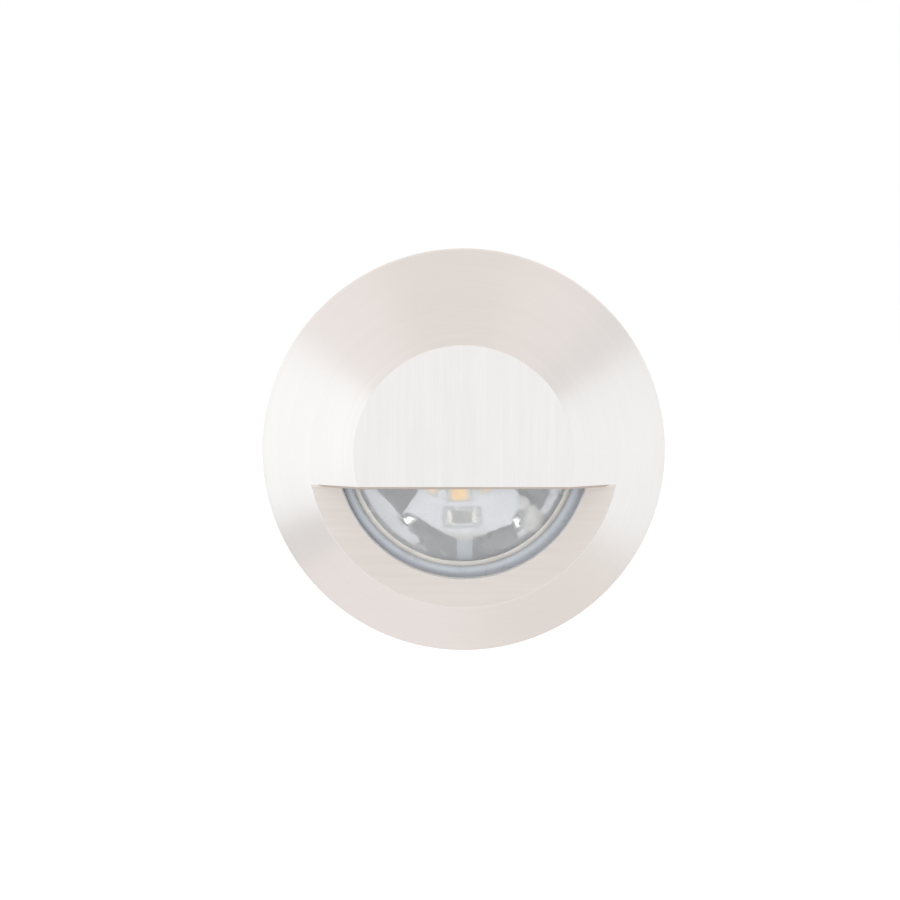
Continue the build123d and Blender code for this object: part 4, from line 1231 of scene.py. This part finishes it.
def lump(
    foot: list[Point], height: float, fullness: float, unevenness: float, seed: int, rings: int = 7
) -> tuple[list[Triple], list[Sequence[int]]]:
    """Closed mound over an outline, higher and lower by chance, as solder or sealant sets.

    Args:
        foot: The outline about the origin.
        height: Height over its foot.
        fullness: How square the mound's shoulder is; 1 is a round one.
        unevenness: Share of the height by which it goes up and down.
        seed: Start of the chance.
        rings: Rings of faces between foot and top.

    Returns:
        Points as (x, y, height) and faces.
    """
    chance = random.Random(seed)
    waves = []
    for _ in range(4):
        k, a, b = (chance.uniform(*ends) for ends in ((0.5, 2.2), (0, 6.28), (0, 6.28)))
        waves.append((k * 3, a, b))
    size = max(math.hypot(x, y) for x, y in foot)

    def top(x: float, y: float) -> float:
        """Height of the uneven mound's full part at a point."""
        lifts = [math.sin(k * x / size + a) * math.cos(k * y / size + b) for k, a, b in waves]
        return height * (1 + unevenness * sum(lifts) / len(waves) * 2)

    points = [(x, y, 0.0) for x, y in foot]
    for ring in range(1, rings):
        slope = ring / rings * math.pi / 2
        inward = math.cos(slope) ** (1 / fullness)
        for x, y in foot:
            up = math.sin(slope) * top(x * inward, y * inward)
            points.append((x * inward, y * inward, up))
    points.append((0.0, 0.0, top(0, 0)))
    count, tip = len(foot), len(points) - 1
    last = tip - count
    faces = hoops(rings, count)
    faces += [[last + i, last + (i + 1) % count, tip] for i in range(count)]
    faces.append(list(range(count))[::-1])
    return points, faces


# ---------------------------------------------------------------- sub-assemblies


@dataclass
class SubAssembly:
    """Pieces that belong together, with the wardrobe that dresses them."""

    wardrobe: Wardrobe

    NODES: ClassVar[dict[str, str]] = {}

    def build(self) -> list[bpy.types.Object]:
        """Dresses the CAD nodes and makes the new pieces.

        Returns:
            The new pieces.
        """
        for node, finish in self.NODES.items():
            self.wardrobe.dress(frame["nodes"][node], finish)
        return self.make()

    def make(self) -> list[bpy.types.Object]:
        """Makes the new pieces, here none."""
        return []


@dataclass
class Face(SubAssembly):
    """Faceplate, its screws and the seal behind it."""

    NODES = {
        "eyelid_faceplate": "face_steel",
        "faceplate_screws": "screw_steel",
        "wall_seal": "seal_foam",
    }


@dataclass
class Optics(SubAssembly):
    """Lens and the gasket round its rim, with the fine shapes of both.

    The lens sits a little to the left in its gasket, as in the photographed light.
    """

    sit: float = -0.2
    front: float = -6.4
    shoulder: float = -5.6
    back: float = -3.1
    flat_radius: float = 16.35
    bevel_foot: float = 17.1
    bevel_facing: Point = (-0.95, -0.2)
    rim_radius: float = 18.25
    break_size: float = 0.06
    bead: tuple[Point, ...] = (
        (17.09, -5.63), (17.06, -5.8), (17.1, -6.08), (17.22, -6.3), (17.42, -6.42),
        (17.7, -6.42), (18.0, -6.3), (18.28, -6.14), (18.5, -6.0), (18.7, -5.82),
    )
    window_radius: float = 18.7
    skirt_radius: float = 19.8
    skirt_front: float = -5.8
    ledge_radius: float = 17.35
    seat_depth: float = -2.6

    def make_lens(self) -> bpy.types.Object:
        """Makes the glass disc with broken edges; its bevel is ground.

        Returns:
            The lens.
        """
        cut = self.break_size
        profile = [
            (0.0, self.front),
            (self.flat_radius - cut, self.front),
            (self.flat_radius, self.front + cut / 2),
            (self.bevel_foot, self.shoulder),
            (self.rim_radius - cut, self.shoulder),
            (self.rim_radius, self.shoulder + cut),
            (self.rim_radius, self.back - cut),
            (self.rim_radius - cut, self.back),
            (0.0, self.back),
        ]
        lens = new_piece("lens_disc", *spun([(r, y, self.sit) for r, y in profile]), "root", 20.0)
        self.wardrobe.dress(lens, "lens_glass")
        lens.data.materials.append(self.wardrobe.material("ground_edge"))
        steep, shallow = self.bevel_facing
        for face in lens.data.polygons:
            if steep < face.normal.y < shallow and face.center.y < self.shoulder * MM:
                face.material_index = 1
        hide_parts("lens")
        return lens

    def make_gasket(self) -> bpy.types.Object:
        """Makes the channel of silicone whose rounded bead closes on the lens's bevel.

        Returns:
            The gasket.
        """
        channel = (
            (self.skirt_radius, self.skirt_front),
            (self.skirt_radius, self.seat_depth),
            (self.ledge_radius, self.seat_depth),
            (self.ledge_radius, self.back),
            (self.rim_radius, self.back),
            (self.rim_radius, self.shoulder),
        )
        profile = [(r, y, self.shift(r)) for r, y in self.bead + channel]
        gasket = new_piece("gasket_ring", *spun(profile), "root", 50.0)
        self.wardrobe.dress(gasket, "silicone")
        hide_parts("lens_gasket")
        return gasket

    def shift(self, radius: float) -> float:
        """How far a circle of the gasket lies aside: with the lens inside, true in the window."""
        free = self.window_radius - self.rim_radius
        return self.sit * min(1.0, max(0.0, (self.window_radius - radius) / free))

    def make(self) -> list[bpy.types.Object]:
        """Makes the lens and its gasket."""
        return [self.make_lens(), self.make_gasket()]


@dataclass(frozen=True)
class Band:
    """An outer band of the board and the opening inside it.

    Angles are in degrees from the band's middle, anticlockwise, and radii in millimetres. The
    opening's corners are (angle, radius).
    """

    middle: float
    first: float = -32.0
    last: float = 32.0
    inner: float = 14.54
    outer: float = 15.69
    opening: tuple[Point, ...] = (
        (-11.4, 9.0), (11.4, 9.0), (16.5, 13.92), (8.0, 13.92), (0.0, 13.92), (-8.0, 13.92),
        (-16.5, 13.92),
    )


@dataclass
class BoardPlate(SubAssembly):
    """The white board itself: a hub, three spokes and three bands, routed a little unevenly.

    Angles are in degrees, anticlockwise from +X before the board's own turn. The points of
    hub_line are (angle, radius), and so are the holes' middles.
    """

    turn: float = BOARD_TURN
    front: float = BOARD_FRONT
    back: float = 1.4
    reach: float = 16.7
    spoke_half: float = 1.2
    bridge_half: float = 25.0
    band_spacing: float = 120.0
    arc_step: float = 1.5
    arc_gap: float = 3.0
    hub_line: tuple[Point, ...] = (
        (-180.0, 13.3), (-136.0, 13.3), (-125.0, 12.15), (-120.7, 12.2), (-112.7, 12.45),
        (-104.7, 12.72), (-100.7, 13.08), (-97.0, 13.28), (-83.0, 13.28), (-76.7, 13.12),
        (-72.7, 12.98), (-68.7, 12.92), (-64.7, 12.98), (-60.7, 13.15), (-54.0, 13.3),
        (180.0, 13.3),
    )
    bands: tuple[Band, ...] = (
        Band(
            -30.0,
            first=-28.8,
            inner=14.5,
            outer=15.7,
            opening=(
                (-7.5, 8.9), (11.4, 9.0), (16.5, 13.92), (9.0, 14.25), (3.0, 14.36),
                (-5.0, 14.56), (-11.3, 14.52), (-12.2, 13.9), (-12.7, 12.6), (-11.7, 11.3),
                (-8.8, 10.2),
            ),
        ),
        Band(90.0),
        Band(
            210.0,
            last=33.5,
            inner=14.67,
            outer=16.12,
            opening=(
                (-11.4, 9.0), (11.4, 9.0), (16.2, 13.6), (11.0, 13.52), (5.5, 13.56),
                (-0.7, 13.86), (-4.2, 14.22), (-10.0, 14.4), (-16.5, 14.4),
            ),
        ),
    )
    lead_holes: tuple[Point, ...] = ((-129.5, 13.0936), (-50.5, 13.0936))
    lead_radius: float = 0.75
    screw_holes: tuple[Point, ...] = ((54.0, 11.2), (126.0, 11.2))
    screw_radius: float = 1.0

    def spot(self, angle: float, radius: float) -> Point:
        """The point (x, z) at an angle and a radius."""
        way = math.radians(angle + self.turn)
        return radius * math.cos(way), radius * math.sin(way)

    def hub(self, angle: float) -> Point:
        """Finds the point of the hub's edge at an angle.

        Args:
            angle: The angle.

        Returns:
            The point (x, z).
        """
        angle = (angle + 180.0) % 360.0 - 180.0
        for (start, low), (end, high) in zip(self.hub_line, self.hub_line[1:]):
            if start <= angle <= end:
                return self.spot(angle, low + (high - low) * (angle - start) / (end - start))
        return self.spot(angle, self.hub_line[0][1])

    def hub_edge(self, first: float, last: float) -> list[Point]:
        """Points of the hub's edge from one angle to another."""
        steps = max(2, round((last - first) / self.arc_step))
        return [self.hub(first + (last - first) * i / steps) for i in range(steps + 1)]

    def band_edge(self, band: Band) -> list[Point]:
        """Follows the outer edge of a band from near its first end to near its last.

        Args:
            band: The band.

        Returns:
            Points along the edge.
        """
        start = band.middle + band.first + self.arc_gap
        steps = math.ceil((band.last - band.first - 2 * self.arc_gap) / self.arc_step)
        return [self.spot(start + self.arc_step * i, band.outer) for i in range(steps)]

    def band_end(self, band: Band, sense: int) -> list[Point]:
        """Rounds a free end of a band.

        Args:
            band: The band.
            sense: -1 for its first end, from inside to outside, or 1 for its last, back in.

        Returns:
            Points along the end.
        """
        middle, half = (band.inner + band.outer) / 2, (band.outer - band.inner) / 2
        tip = band.middle + (band.first if sense < 0 else band.last)
        centre = tip - sense * math.degrees(half / middle)
        end = []
        for turn in [math.pi * i / 8 for i in range(9)][::-sense]:
            angle = centre + sense * math.degrees(half * math.sin(turn) / middle)
            end.append(self.spot(angle, middle - half * math.cos(turn)))
        return end

    def outline(self) -> list[Point]:
        """Follows the edge of the whole board, anticlockwise.

        Returns:
            Points along the edge.
        """
        line: list[Point] = []
        root = math.degrees(math.asin(self.spoke_half / self.hub_line[0][1]))
        tip = math.degrees(math.atan(self.spoke_half / self.reach))
        far = math.hypot(self.spoke_half, self.reach)
        for band in self.bands:
            spoke, following = (band.middle + self.band_spacing / 2 * i for i in (-1, 1))
            before, after = (band.middle + self.bridge_half * i for i in (-1, 1))
            line += [self.spot(spoke - tip, far), self.spot(spoke + tip, far)]
            line += self.hub_edge(spoke + root, before)
            line.append(self.spot(before, band.inner))
            line += self.band_end(band, -1) + self.band_edge(band) + self.band_end(band, 1)
            line.append(self.spot(after, band.inner))
            line += self.hub_edge(after, following - root)
        return line

    def hole(self, angle: float, ring: float, radius: float, sides: int = 32) -> list[Point]:
        """Draws a round hole.

        Args:
            angle: Angle of its middle.
            ring: Radius that its middle lies on.
            radius: Its own radius.
            sides: Corners of its outline.

        Returns:
            The outline's points.
        """
        x, z = self.spot(angle, ring)
        return [(x + radius * math.cos(t), z + radius * math.sin(t)) for t in turns(sides)]

    def make(self) -> list[bpy.types.Object]:
        """Makes the board.

        Returns:
            The board.
        """
        loops = [self.outline()]
        for band in self.bands:
            opening = [self.spot(band.middle + angle, radius) for angle, radius in band.opening]
            loops.append(round_corners(opening))
        loops += [self.hole(*middle, self.lead_radius) for middle in self.lead_holes]
        loops += [self.hole(*middle, self.screw_radius) for middle in self.screw_holes]
        plate = new_piece("board_plate", *slab(loops, self.front, self.back), "root", 30.0)
        self.wardrobe.dress(plate, "board_lacquer")
        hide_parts("led_board")
        return [plate]


@dataclass(frozen=True)
class Plates:
    """Thin plates of one kind on the board.

    One lies at each offset, sideways from each of the angles on the ring, and all of them lie
    aside by the same shift to the right. The usual values are those of a resistor.
    """

    name: str
    finish: str
    width: float
    height: float
    corner: float
    rise: float
    ring: float = 10.1
    angles: tuple[float, ...] = (-90.0, 30.0, 150.0)
    offsets: tuple[float, ...] = (-0.35,)
    shift: float = 0.0


@dataclass(frozen=True)
class Mound:
    """A mound of solder or sealant on the board, about its middle (x, z).

    The seeds start the chance of its outline and of its height. A joint stands for a CAD one.
    """

    name: str
    finish: str
    middle: Point
    size: Point
    rise: float
    seeds: tuple[int, int]
    fullness: float = 1.0
    unevenness: float = 0.2
    corners: int = 28
    joint: bool = False


@dataclass
class LedBoard(SubAssembly):
    """What the board carries and what is round it: LEDs, resistors, joints and pads."""

    turn: float = BOARD_TURN
    front: float = BOARD_FRONT
    pad_height: float = 0.04
    plates: tuple[Plates, ...] = (
        Plates("resistor_masks", "mask_edge", 5.9, 3.3, 0.5, rise=0.012),
        Plates("resistor_fields", "board_lacquer", 5.1, 2.5, 0.35, rise=0.02),
        Plates("resistor_pads", "tinned_ends", 1.2, 2.2, 0.2, rise=0.03, offsets=(-2.05, 1.35)),
        # LED pads: real pads whose grey also paints the shade beside each LED.
        Plates(
            "led_pads", "dull_tin", 0.3, 2.3, 0.1, rise=0.03, ring=6.5,
            angles=tuple(-90.0 + 40.0 * i for i in range(9)), offsets=(-1.9, 1.9), shift=-0.75,
        ),
    )
    mounds: tuple[Mound, ...] = (
        Mound(
            "solder_joint_right", "solder", (7.95, -10.9), (1.8, 2.9), 1.15, (5, 11),
            fullness=1.9, joint=True,
        ),
        Mound(
            "solder_joint_left", "solder", (-8.2, -10.55), (2.6, 2.1), 1.0, (7, 4),
            fullness=1.9, joint=True,
        ),
        Mound("solder_bead_left", "solder", (-9.7, -10.2), (0.7, 0.8), 0.6, (9, 6)),
        Mound("solder_bead_right", "solder", (8.9, -7.8), (0.45, 0.5), 0.4, (2, 6)),
        Mound(
            "sealant_collar", "mask_edge", (8.45, -9.95), (1.8, 1.7), 0.8, (13, 3), fullness=1.5
        ),
        Mound("solder_bead_middle", "solder", (10.3, -9.15), (0.5, 0.45), 0.4, (4, 6)),
        Mound("solder_bead_upper", "solder", (12.95, -6.85), (0.45, 0.5), 0.35, (6, 6)),
        Mound(
            "sealant_dab", "sealant", (10.35, -10.5), (3.4, 4.2), 0.45, (3, 8),
            fullness=1.6, unevenness=0.3, corners=40,
        ),
        Mound(
            "sealant_smear", "sealant", (8.9, -8.1), (2.2, 2.4), 0.3, (12, 5),
            fullness=1.3, unevenness=0.3, corners=32,
        ),
    )

    NODES = {
        "led_bodies": "led_case",
        "led_phosphors": "led_gel",
        "resistor_bodies": "resistor_cover",
        "resistor_terminals": "tinned_ends",
        "board_screws": "screw_steel",
        "thermal_pad": "pad",
        "spacer_ring": "white_plastic",
        "heat_sink": "aluminium",
        "snap_ring": "spring_steel",
    }

    def at(self, x: float, out: float, radius: float, angle: float, depth: float) -> Vector:
        """Finds a point on the board.

        Args:
            x: Sideways from the spot's own centre.
            out: Towards the light's axis from the spot's own centre.
            radius: The spot's radius.
            angle: The spot's direction in degrees, anticlockwise from +X.
            depth: Depth of the point.

        Returns:
            The point in metres.
        """
        turn = math.radians(angle + 90 + self.turn)
        cosine, sine, z = math.cos(turn), math.sin(turn), out - radius
        return Vector((x * cosine - z * sine, depth, x * sine + z * cosine)) * MM

    def lay(self, kind: Plates) -> bpy.types.Object:
        """Lays the plates of one kind.

        Args:
            kind: The kind.

        Returns:
            The piece that holds them all.
        """
        points: list[Vector] = []
        faces: list[Sequence[int]] = []
        moved = Vector((kind.shift, 0, 0)) * MM
        outline = rounded_rectangle(kind.width, kind.height, kind.corner)
        count = len(outline)
        for angle, offset in ((a, o) for a in kind.angles for o in kind.offsets):
            start = len(points)
            for depth in (self.front, self.front - kind.rise):
                ring = [self.at(x + offset, z, kind.ring, angle, depth) for x, z in outline]
                points += [point + moved for point in ring]
            far = list(range(start, start + count))
            faces += [[i + count for i in far], far[::-1], *hoops(2, count, start)]
        piece = new_piece(kind.name, points, faces, "root")
        self.wardrobe.dress(piece, kind.finish)
        return piece

    def heap(self, kind: Mound) -> bpy.types.Object:
        """Sets a mound on the board.

        Args:
            kind: The mound.

        Returns:
            The piece.
        """
        outline_seed, height_seed = kind.seeds
        foot = blot(*kind.size, outline_seed, kind.corners)
        spots, faces = lump(foot, kind.rise, kind.fullness, kind.unevenness, height_seed)
        (x, z), level = kind.middle, self.front - self.pad_height
        points = [Vector((x + px, level - up, z + pz)) * MM for px, pz, up in spots]
        piece = new_piece(kind.name, points, faces, "root", 180.0)
        self.wardrobe.dress(piece, kind.finish)
        if kind.joint:
            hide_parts("solder_joints")
        return piece

    def make(self) -> list[bpy.types.Object]:
        """Makes the plates and the mounds."""
        return [*map(self.lay, self.plates), *map(self.heap, self.mounds)]


@dataclass
class Body(SubAssembly):
    """Housing, driver, rear cap and gland."""

    NODES = {
        "housing": "turned_steel",
        "led_lead_negative": "lead_black",
        "led_lead_positive": "lead_red",
        "driver_board": "green_board",
        "driver_screws": "screw_steel",
        "inductor": "chip_black",
        "smoothing_capacitor": "can",
        "rectifier": "chip_black",
        "driver_chip": "chip_black",
        "chip_parts": "chip_black",
        "terminal_block": "terminal_green",
        "terminal_screws": "screw_steel",
        "rear_cap": "turned_steel",
        "rear_cap_ring": "rubber",
        "gland_washer": "rubber",
        "gland_body": "nickel",
        "gland_seal": "rubber",
        "gland_nut": "nickel",
    }


class Side(Enum):
    """The side of the light that a clip is on, with the sign of its x."""

    RIGHT = 1
    LEFT = -1


@dataclass
class Clip(SubAssembly):
    """One sprung retaining clip.

    Turns and angles of the spring are in degrees. Its coil climbs but for level_turn, and the
    moving leg follows it over the turn nested. leg_play is what the leg's wire is thinner by.
    """

    side: Side = Side.RIGHT
    pivot_x: float = 22.45
    pivot_depth: float = 15.0
    coil_radius: float = 0.85
    wire_radius: float = 0.25
    leg_play: float = 0.004
    half_width: float = 1.94
    coils: float = 3.0
    first: float = 180.0
    rest_angle: float = -60.0
    fixed_leg: float = 5.0
    arm_leg: float = 6.5
    nested: float = 160.0
    level_turn: float = 165.0
    step: float = 15.0

    def on_coil(self, turn: float, height: float) -> Vector:
        """Finds a point of the coil's centreline.

        Args:
            turn: Its angle.
            height: Its height.

        Returns:
            The point in metres.
        """
        angle = math.radians(turn)
        x = self.pivot_x + self.coil_radius * math.cos(angle)
        depth = self.pivot_depth + self.coil_radius * math.sin(angle)
        return Vector((self.side.value * x, depth, height)) * MM

    def leg(self, turn: float, height: float, length: float) -> list[Vector]:
        """Draws a straight leg that leaves the coil along its tangent.

        Args:
            turn: Where it leaves, in degrees.
            height: Its height.
            length: Its length, below zero to run backwards.

        Returns:
            Its points, from the coil outwards.
        """
        angle = math.radians(turn)
        way = Vector((-math.sin(angle) * self.side.value, math.cos(angle), 0))
        start = self.on_coil(turn, height)
        return [start + way * length * MM * i / 4 for i in range(1, 5)]

    def fixed_path(self, last: float) -> list[Vector]:
        """Draws the fixed leg and the coil up to its last turn.

        Args:
            last: The coil's last turn.

        Returns:
            Points of the wire's centreline.
        """
        climb = last - self.first - self.level_turn
        path = self.leg(self.first, -self.half_width, -self.fixed_leg)[::-1]
        for i in range(round((last - self.first) / self.step) + 1):
            turn = min(self.first + self.step * i, last)
            share = min((turn - self.first) / climb, 1.0)
            path.append(self.on_coil(turn, self.half_width * (2 * share - 1)))
        return path

    def moving_path(self, last: float) -> list[Vector]:
        """Draws the part of the coil that turns with the arm, and the arm's leg.

        Args:
            last: The coil's last turn.

        Returns:
            Points of the wire's centreline.
        """
        parts = math.ceil(self.nested / self.step)
        along = [last - self.nested * (1 - i / parts) for i in range(parts + 1)]
        path = [self.on_coil(turn, self.half_width) for turn in along]
        return path + self.leg(last, self.half_width, self.arm_leg)

    def make(self) -> list[bpy.types.Object]:
        """Dresses the clip and winds the spring in two parts that join at any fold.

        Returns:
            The two parts of the spring.
        """
        name = self.side.name.lower()
        for part in ("bracket", "arm"):
            self.wardrobe.dress(frame["nodes"][f"clip_{part}_{name}"], "spring_steel")
        last = 360.0 * self.coils + (self.rest_angle - 90.0) % 360.0
        coil = tube(self.fixed_path(last), self.wire_radius * MM)
        leg = tube(self.moving_path(last), (self.wire_radius - self.leg_play) * MM)
        fixed = new_piece(f"spring_coil_{name}", *coil, "root")
        moving = new_piece(f"spring_leg_{name}", *leg, f"{name}_arm")
        for piece in (fixed, moving):
            self.wardrobe.dress(piece, "spring_wire")
            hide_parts(f"clip_spring_{name}")
        return [fixed, moving]


@dataclass
class ClipHardware(SubAssembly):
    """Pins and rivets of both clips."""

    NODES = {"clip_pins": "spring_wire", "clip_rivets": "aluminium"}


# ---------------------------------------------------------------- studio and camera


@dataclass(frozen=True)
class Softbox:
    """A soft lamp, in metres, that looks at the light and is seen by matt surfaces only."""

    name: str
    place: Triple
    size: Point
    radiance: float
    colour: Triple = (1.0, 1.0, 1.0)

    def hang(self) -> bpy.types.Object:
        """Makes the lamp, aimed at the origin.

        Returns:
            The lamp.
        """
        lamp = bpy.data.lights.new(self.name, "AREA")
        lamp.shape = "RECTANGLE"
        lamp.size, lamp.size_y = self.size
        lamp.energy = self.radiance * math.pi * self.size[0] * self.size[1]
        lamp.color = self.colour
        hung = bpy.data.objects.new(self.name, lamp)
        hung.location = self.place
        hung.rotation_euler = (-Vector(self.place)).to_track_quat("-Z", "Y").to_euler()
        hung.visible_camera = False
        hung.visible_glossy = False
        bpy.context.scene.collection.objects.link(hung)
        return hung


@dataclass(frozen=True)
class Glow:
    """Lighter or darker sector of the white surround, by its angle about the light's axis."""

    start: float
    end: float
    fade_in: float
    fade_out: float
    change: Triple

    def draw(self, graph: Graph, angle: Feed) -> Socket:
        """Finds what the sector adds to the surround.

        Args:
            graph: The world's graph.
            angle: Angle in degrees, anticlockwise from +X as the camera sees it.

        Returns:
            The added colour as a vector.
        """
        middle, half = (self.start + self.end) / 2, (self.end - self.start) / 2
        off = graph.math("WRAP", graph.math("SUBTRACT", angle, middle), 180.0, -180.0)
        rise = graph.remap(off, (-half - self.fade_in, -half), smooth=True)
        fall = graph.remap(off, (half, half + self.fade_out), FALL, smooth=True)
        return graph.scale(self.change, graph.math("MULTIPLY", rise, fall))


@dataclass
class Studio:
    """White surround with softly lit sides, pale floor and soft lamps.

    The spans are of a direction's own values: aside from the light's axis, ahead and behind by
    its y, and overhead by its z.
    """

    floor_level: float = -0.1
    floor_size: float = 30.0
    floor_tone: Triple = (238, 238, 238)
    floor_glow: float = 0.36
    ambient: float = 0.75
    aside_span: Point = (0.2, 0.5)
    ahead_span: Point = (0.15, 0.4)
    overhead_span: Point = (-0.5, 0.8)
    rear_shades: Point = (-0.2, 0.3)
    behind_span: Point = (0.25, 0.9)
    behind: float = 0.7
    glows: tuple[Glow, ...] = (
        Glow(127, 152, 16, 6, (0.12, 0.12, 0.15)),
        Glow(158, 204, 12, 4, (0.39, 0.52, 0.62)),
        Glow(210, 215, 3, 5, (-0.20, -0.16, -0.11)),
        Glow(222, 262, 4, 26, (0.11, 0.11, 0.14)),
        Glow(-28, 24, 16, 4, (0.25, 0.36, 0.45)),
        Glow(31, 36, 3, 10, (-0.10, -0.07, -0.04)),
        Glow(40, 64, 8, 14, (0.06, 0.06, 0.08)),
    )
    lamps: tuple[Softbox, ...] = (
        Softbox("softbox_front", (0.0, -1.2, 0.02), (0.5, 0.2), 11.2),
        Softbox("softbox_left", (-1.0, -0.5, 0.6), (0.8, 0.8), 0.9, (0.95, 0.98, 1.0)),
        Softbox("softbox_back", (0.8, 1.0, 0.7), (0.8, 0.8), 0.9, (1.0, 0.99, 0.97)),
    )

    def surround(self, graph: Graph) -> Socket:
        """Lays out the surround as metal and glass see it.

        Args:
            graph: The world's graph.

        Returns:
            Its colour by direction.
        """
        direction = graph.add("TexCoord").outputs["Generated"]
        x, y, z = graph.split(direction)
        angle = graph.math("DEGREES", graph.math("ARCTAN2", z, x))
        total: Feed = (0.0, 0.0, 0.0)
        for glow in self.glows:
            total = graph.vector("ADD", total, glow.draw(graph, angle))
        aside = graph.remap(graph.off_axis(direction), self.aside_span, smooth=True)
        ahead = graph.remap(y, self.ahead_span, FALL, smooth=True)
        total = graph.scale(total, graph.math("MULTIPLY", aside, ahead))
        overhead = graph.remap(z, self.overhead_span, self.rear_shades, smooth=True)
        rear = graph.math("MULTIPLY", overhead, graph.math("SUBTRACT", 1.0, ahead))
        plain = graph.vector("ADD", (1.0, 1.0, 1.0), graph.join(rear, rear, rear))
        behind = graph.remap(y, self.behind_span, (1.0, self.behind), smooth=True)
        return graph.scale(graph.vector("ADD", total, plain), behind)

    def make_world(self) -> None:
        """Makes the white surround: plain for the camera, with lit sides for metal and glass."""
        world = bpy.data.worlds.new("white_surround")
        bpy.context.scene.world = world
        world.cycles.sampling_method = "NONE"
        graph = Graph.fresh(world)
        light, mirrored, plain = (
            graph.add("Background", {"Color": colour, "Strength": strength})
            for colour, strength in (
                (PURE_WHITE, self.ambient),
                (self.surround(graph), 1.0),
                (PURE_WHITE, 1.0),
            )
        )
        seen = graph.blend(graph.rays("Is Glossy Ray", "Is Transmission Ray"), light, mirrored)
        camera = graph.add("LightPath").outputs["Is Camera Ray"]
        both = graph.blend(camera, seen, plain)
        graph.add("OutputWorld", {"Surface": both.outputs[0]})

    def make_floor(self) -> bpy.types.Object:
        """Makes the pale floor, which fades into the surround and keeps a soft shadow.

        Returns:
            The floor.
        """
        half = self.floor_size / 2
        mesh = bpy.data.meshes.new("floor")
        corners = [(-half, -half), (half, -half), (half, half), (-half, half)]
        mesh.from_pydata([(x, y, self.floor_level) for x, y in corners], [], [[0, 1, 2, 3]])
        floor = bpy.data.objects.new("floor", mesh)
        bpy.context.scene.collection.objects.link(floor)
        material = bpy.data.materials.new("pale_floor")
        material.cycles.emission_sampling = "NONE"
        graph = Graph.fresh(material)
        matt = graph.add("BsdfDiffuse", {"Color": tone(self.floor_tone)})
        dark = graph.add("Emission", {"Color": (0, 0, 0, 1), "Strength": 0.0})
        glow = graph.add("Emission", {"Color": PURE_WHITE, "Strength": self.floor_glow})
        extra = graph.blend(graph.add("LightPath").outputs["Is Camera Ray"], dark, glow)
        both = graph.add("AddShader", {0: matt.outputs[0], 1: extra.outputs[0]})
        graph.add("OutputMaterial", {"Surface": both.outputs[0]})
        mesh.materials.append(material)
        floor.visible_glossy = False
        return floor

    def build(self) -> None:
        """Sets up the world, the floor and the lamps."""
        self.make_world()
        self.make_floor()
        for lamp in self.lamps:
            lamp.hang()
        bpy.context.scene.view_settings.view_transform = "Standard"


@dataclass
class PhotoCamera:
    """Camera at the photograph's angle, with a long lens; its distance is in metres."""

    elevation: float = 4.5
    distance: float = 2.5
    frame_width: float = 900.0
    pixels_per_mm: float = 6.71
    centre_pixel: Point = (463.6, 448.8)
    sensor: float = 36.0
    clip: Point = (0.1, 50.0)

    def build(self) -> bpy.types.Object:
        """Makes the camera and aims it so that the wall seat's centre falls on its pixel.

        Returns:
            The camera.
        """
        pixel = MM / self.pixels_per_mm
        data = bpy.data.cameras.new("photo_camera")
        data.sensor_width = self.sensor
        data.lens = self.sensor * self.distance / (self.frame_width * pixel)
        data.clip_start, data.clip_end = self.clip
        camera = bpy.data.objects.new("photo_camera", data)
        lift = math.radians(self.elevation)
        right = Vector((1, 0, 0))
        back = Vector((0, -math.cos(lift), math.sin(lift)))
        up = Vector((0, math.sin(lift), math.cos(lift)))
        half = self.frame_width / 2
        x, y = self.centre_pixel
        aim = right * (half - x) * pixel + up * (y - half) * pixel
        rotation = Matrix((right, up, back)).transposed()
        camera.matrix_world = Matrix.Translation(aim + back * self.distance) @ rotation.to_4x4()
        bpy.context.scene.collection.objects.link(camera)
        bpy.context.scene.camera = camera
        return camera


def main() -> None:
    """Builds the camera, the studio and every sub-assembly, and reports each piece."""
    logging.basicConfig(level=logging.INFO, format="%(name)s: %(message)s")
    PhotoCamera().build()
    Studio().build()
    wardrobe = Wardrobe()
    parts: list[SubAssembly] = [
        Face(wardrobe),
        Optics(wardrobe),
        BoardPlate(wardrobe),
        LedBoard(wardrobe),
        Body(wardrobe),
        Clip(wardrobe, Side.RIGHT),
        Clip(wardrobe, Side.LEFT),
        ClipHardware(wardrobe),
    ]
    for part in parts:
        for piece in part.build():
            log.info("made %s with %d faces", piece.name, len(piece.data.polygons))


if __name__ == "__main__":
    main()
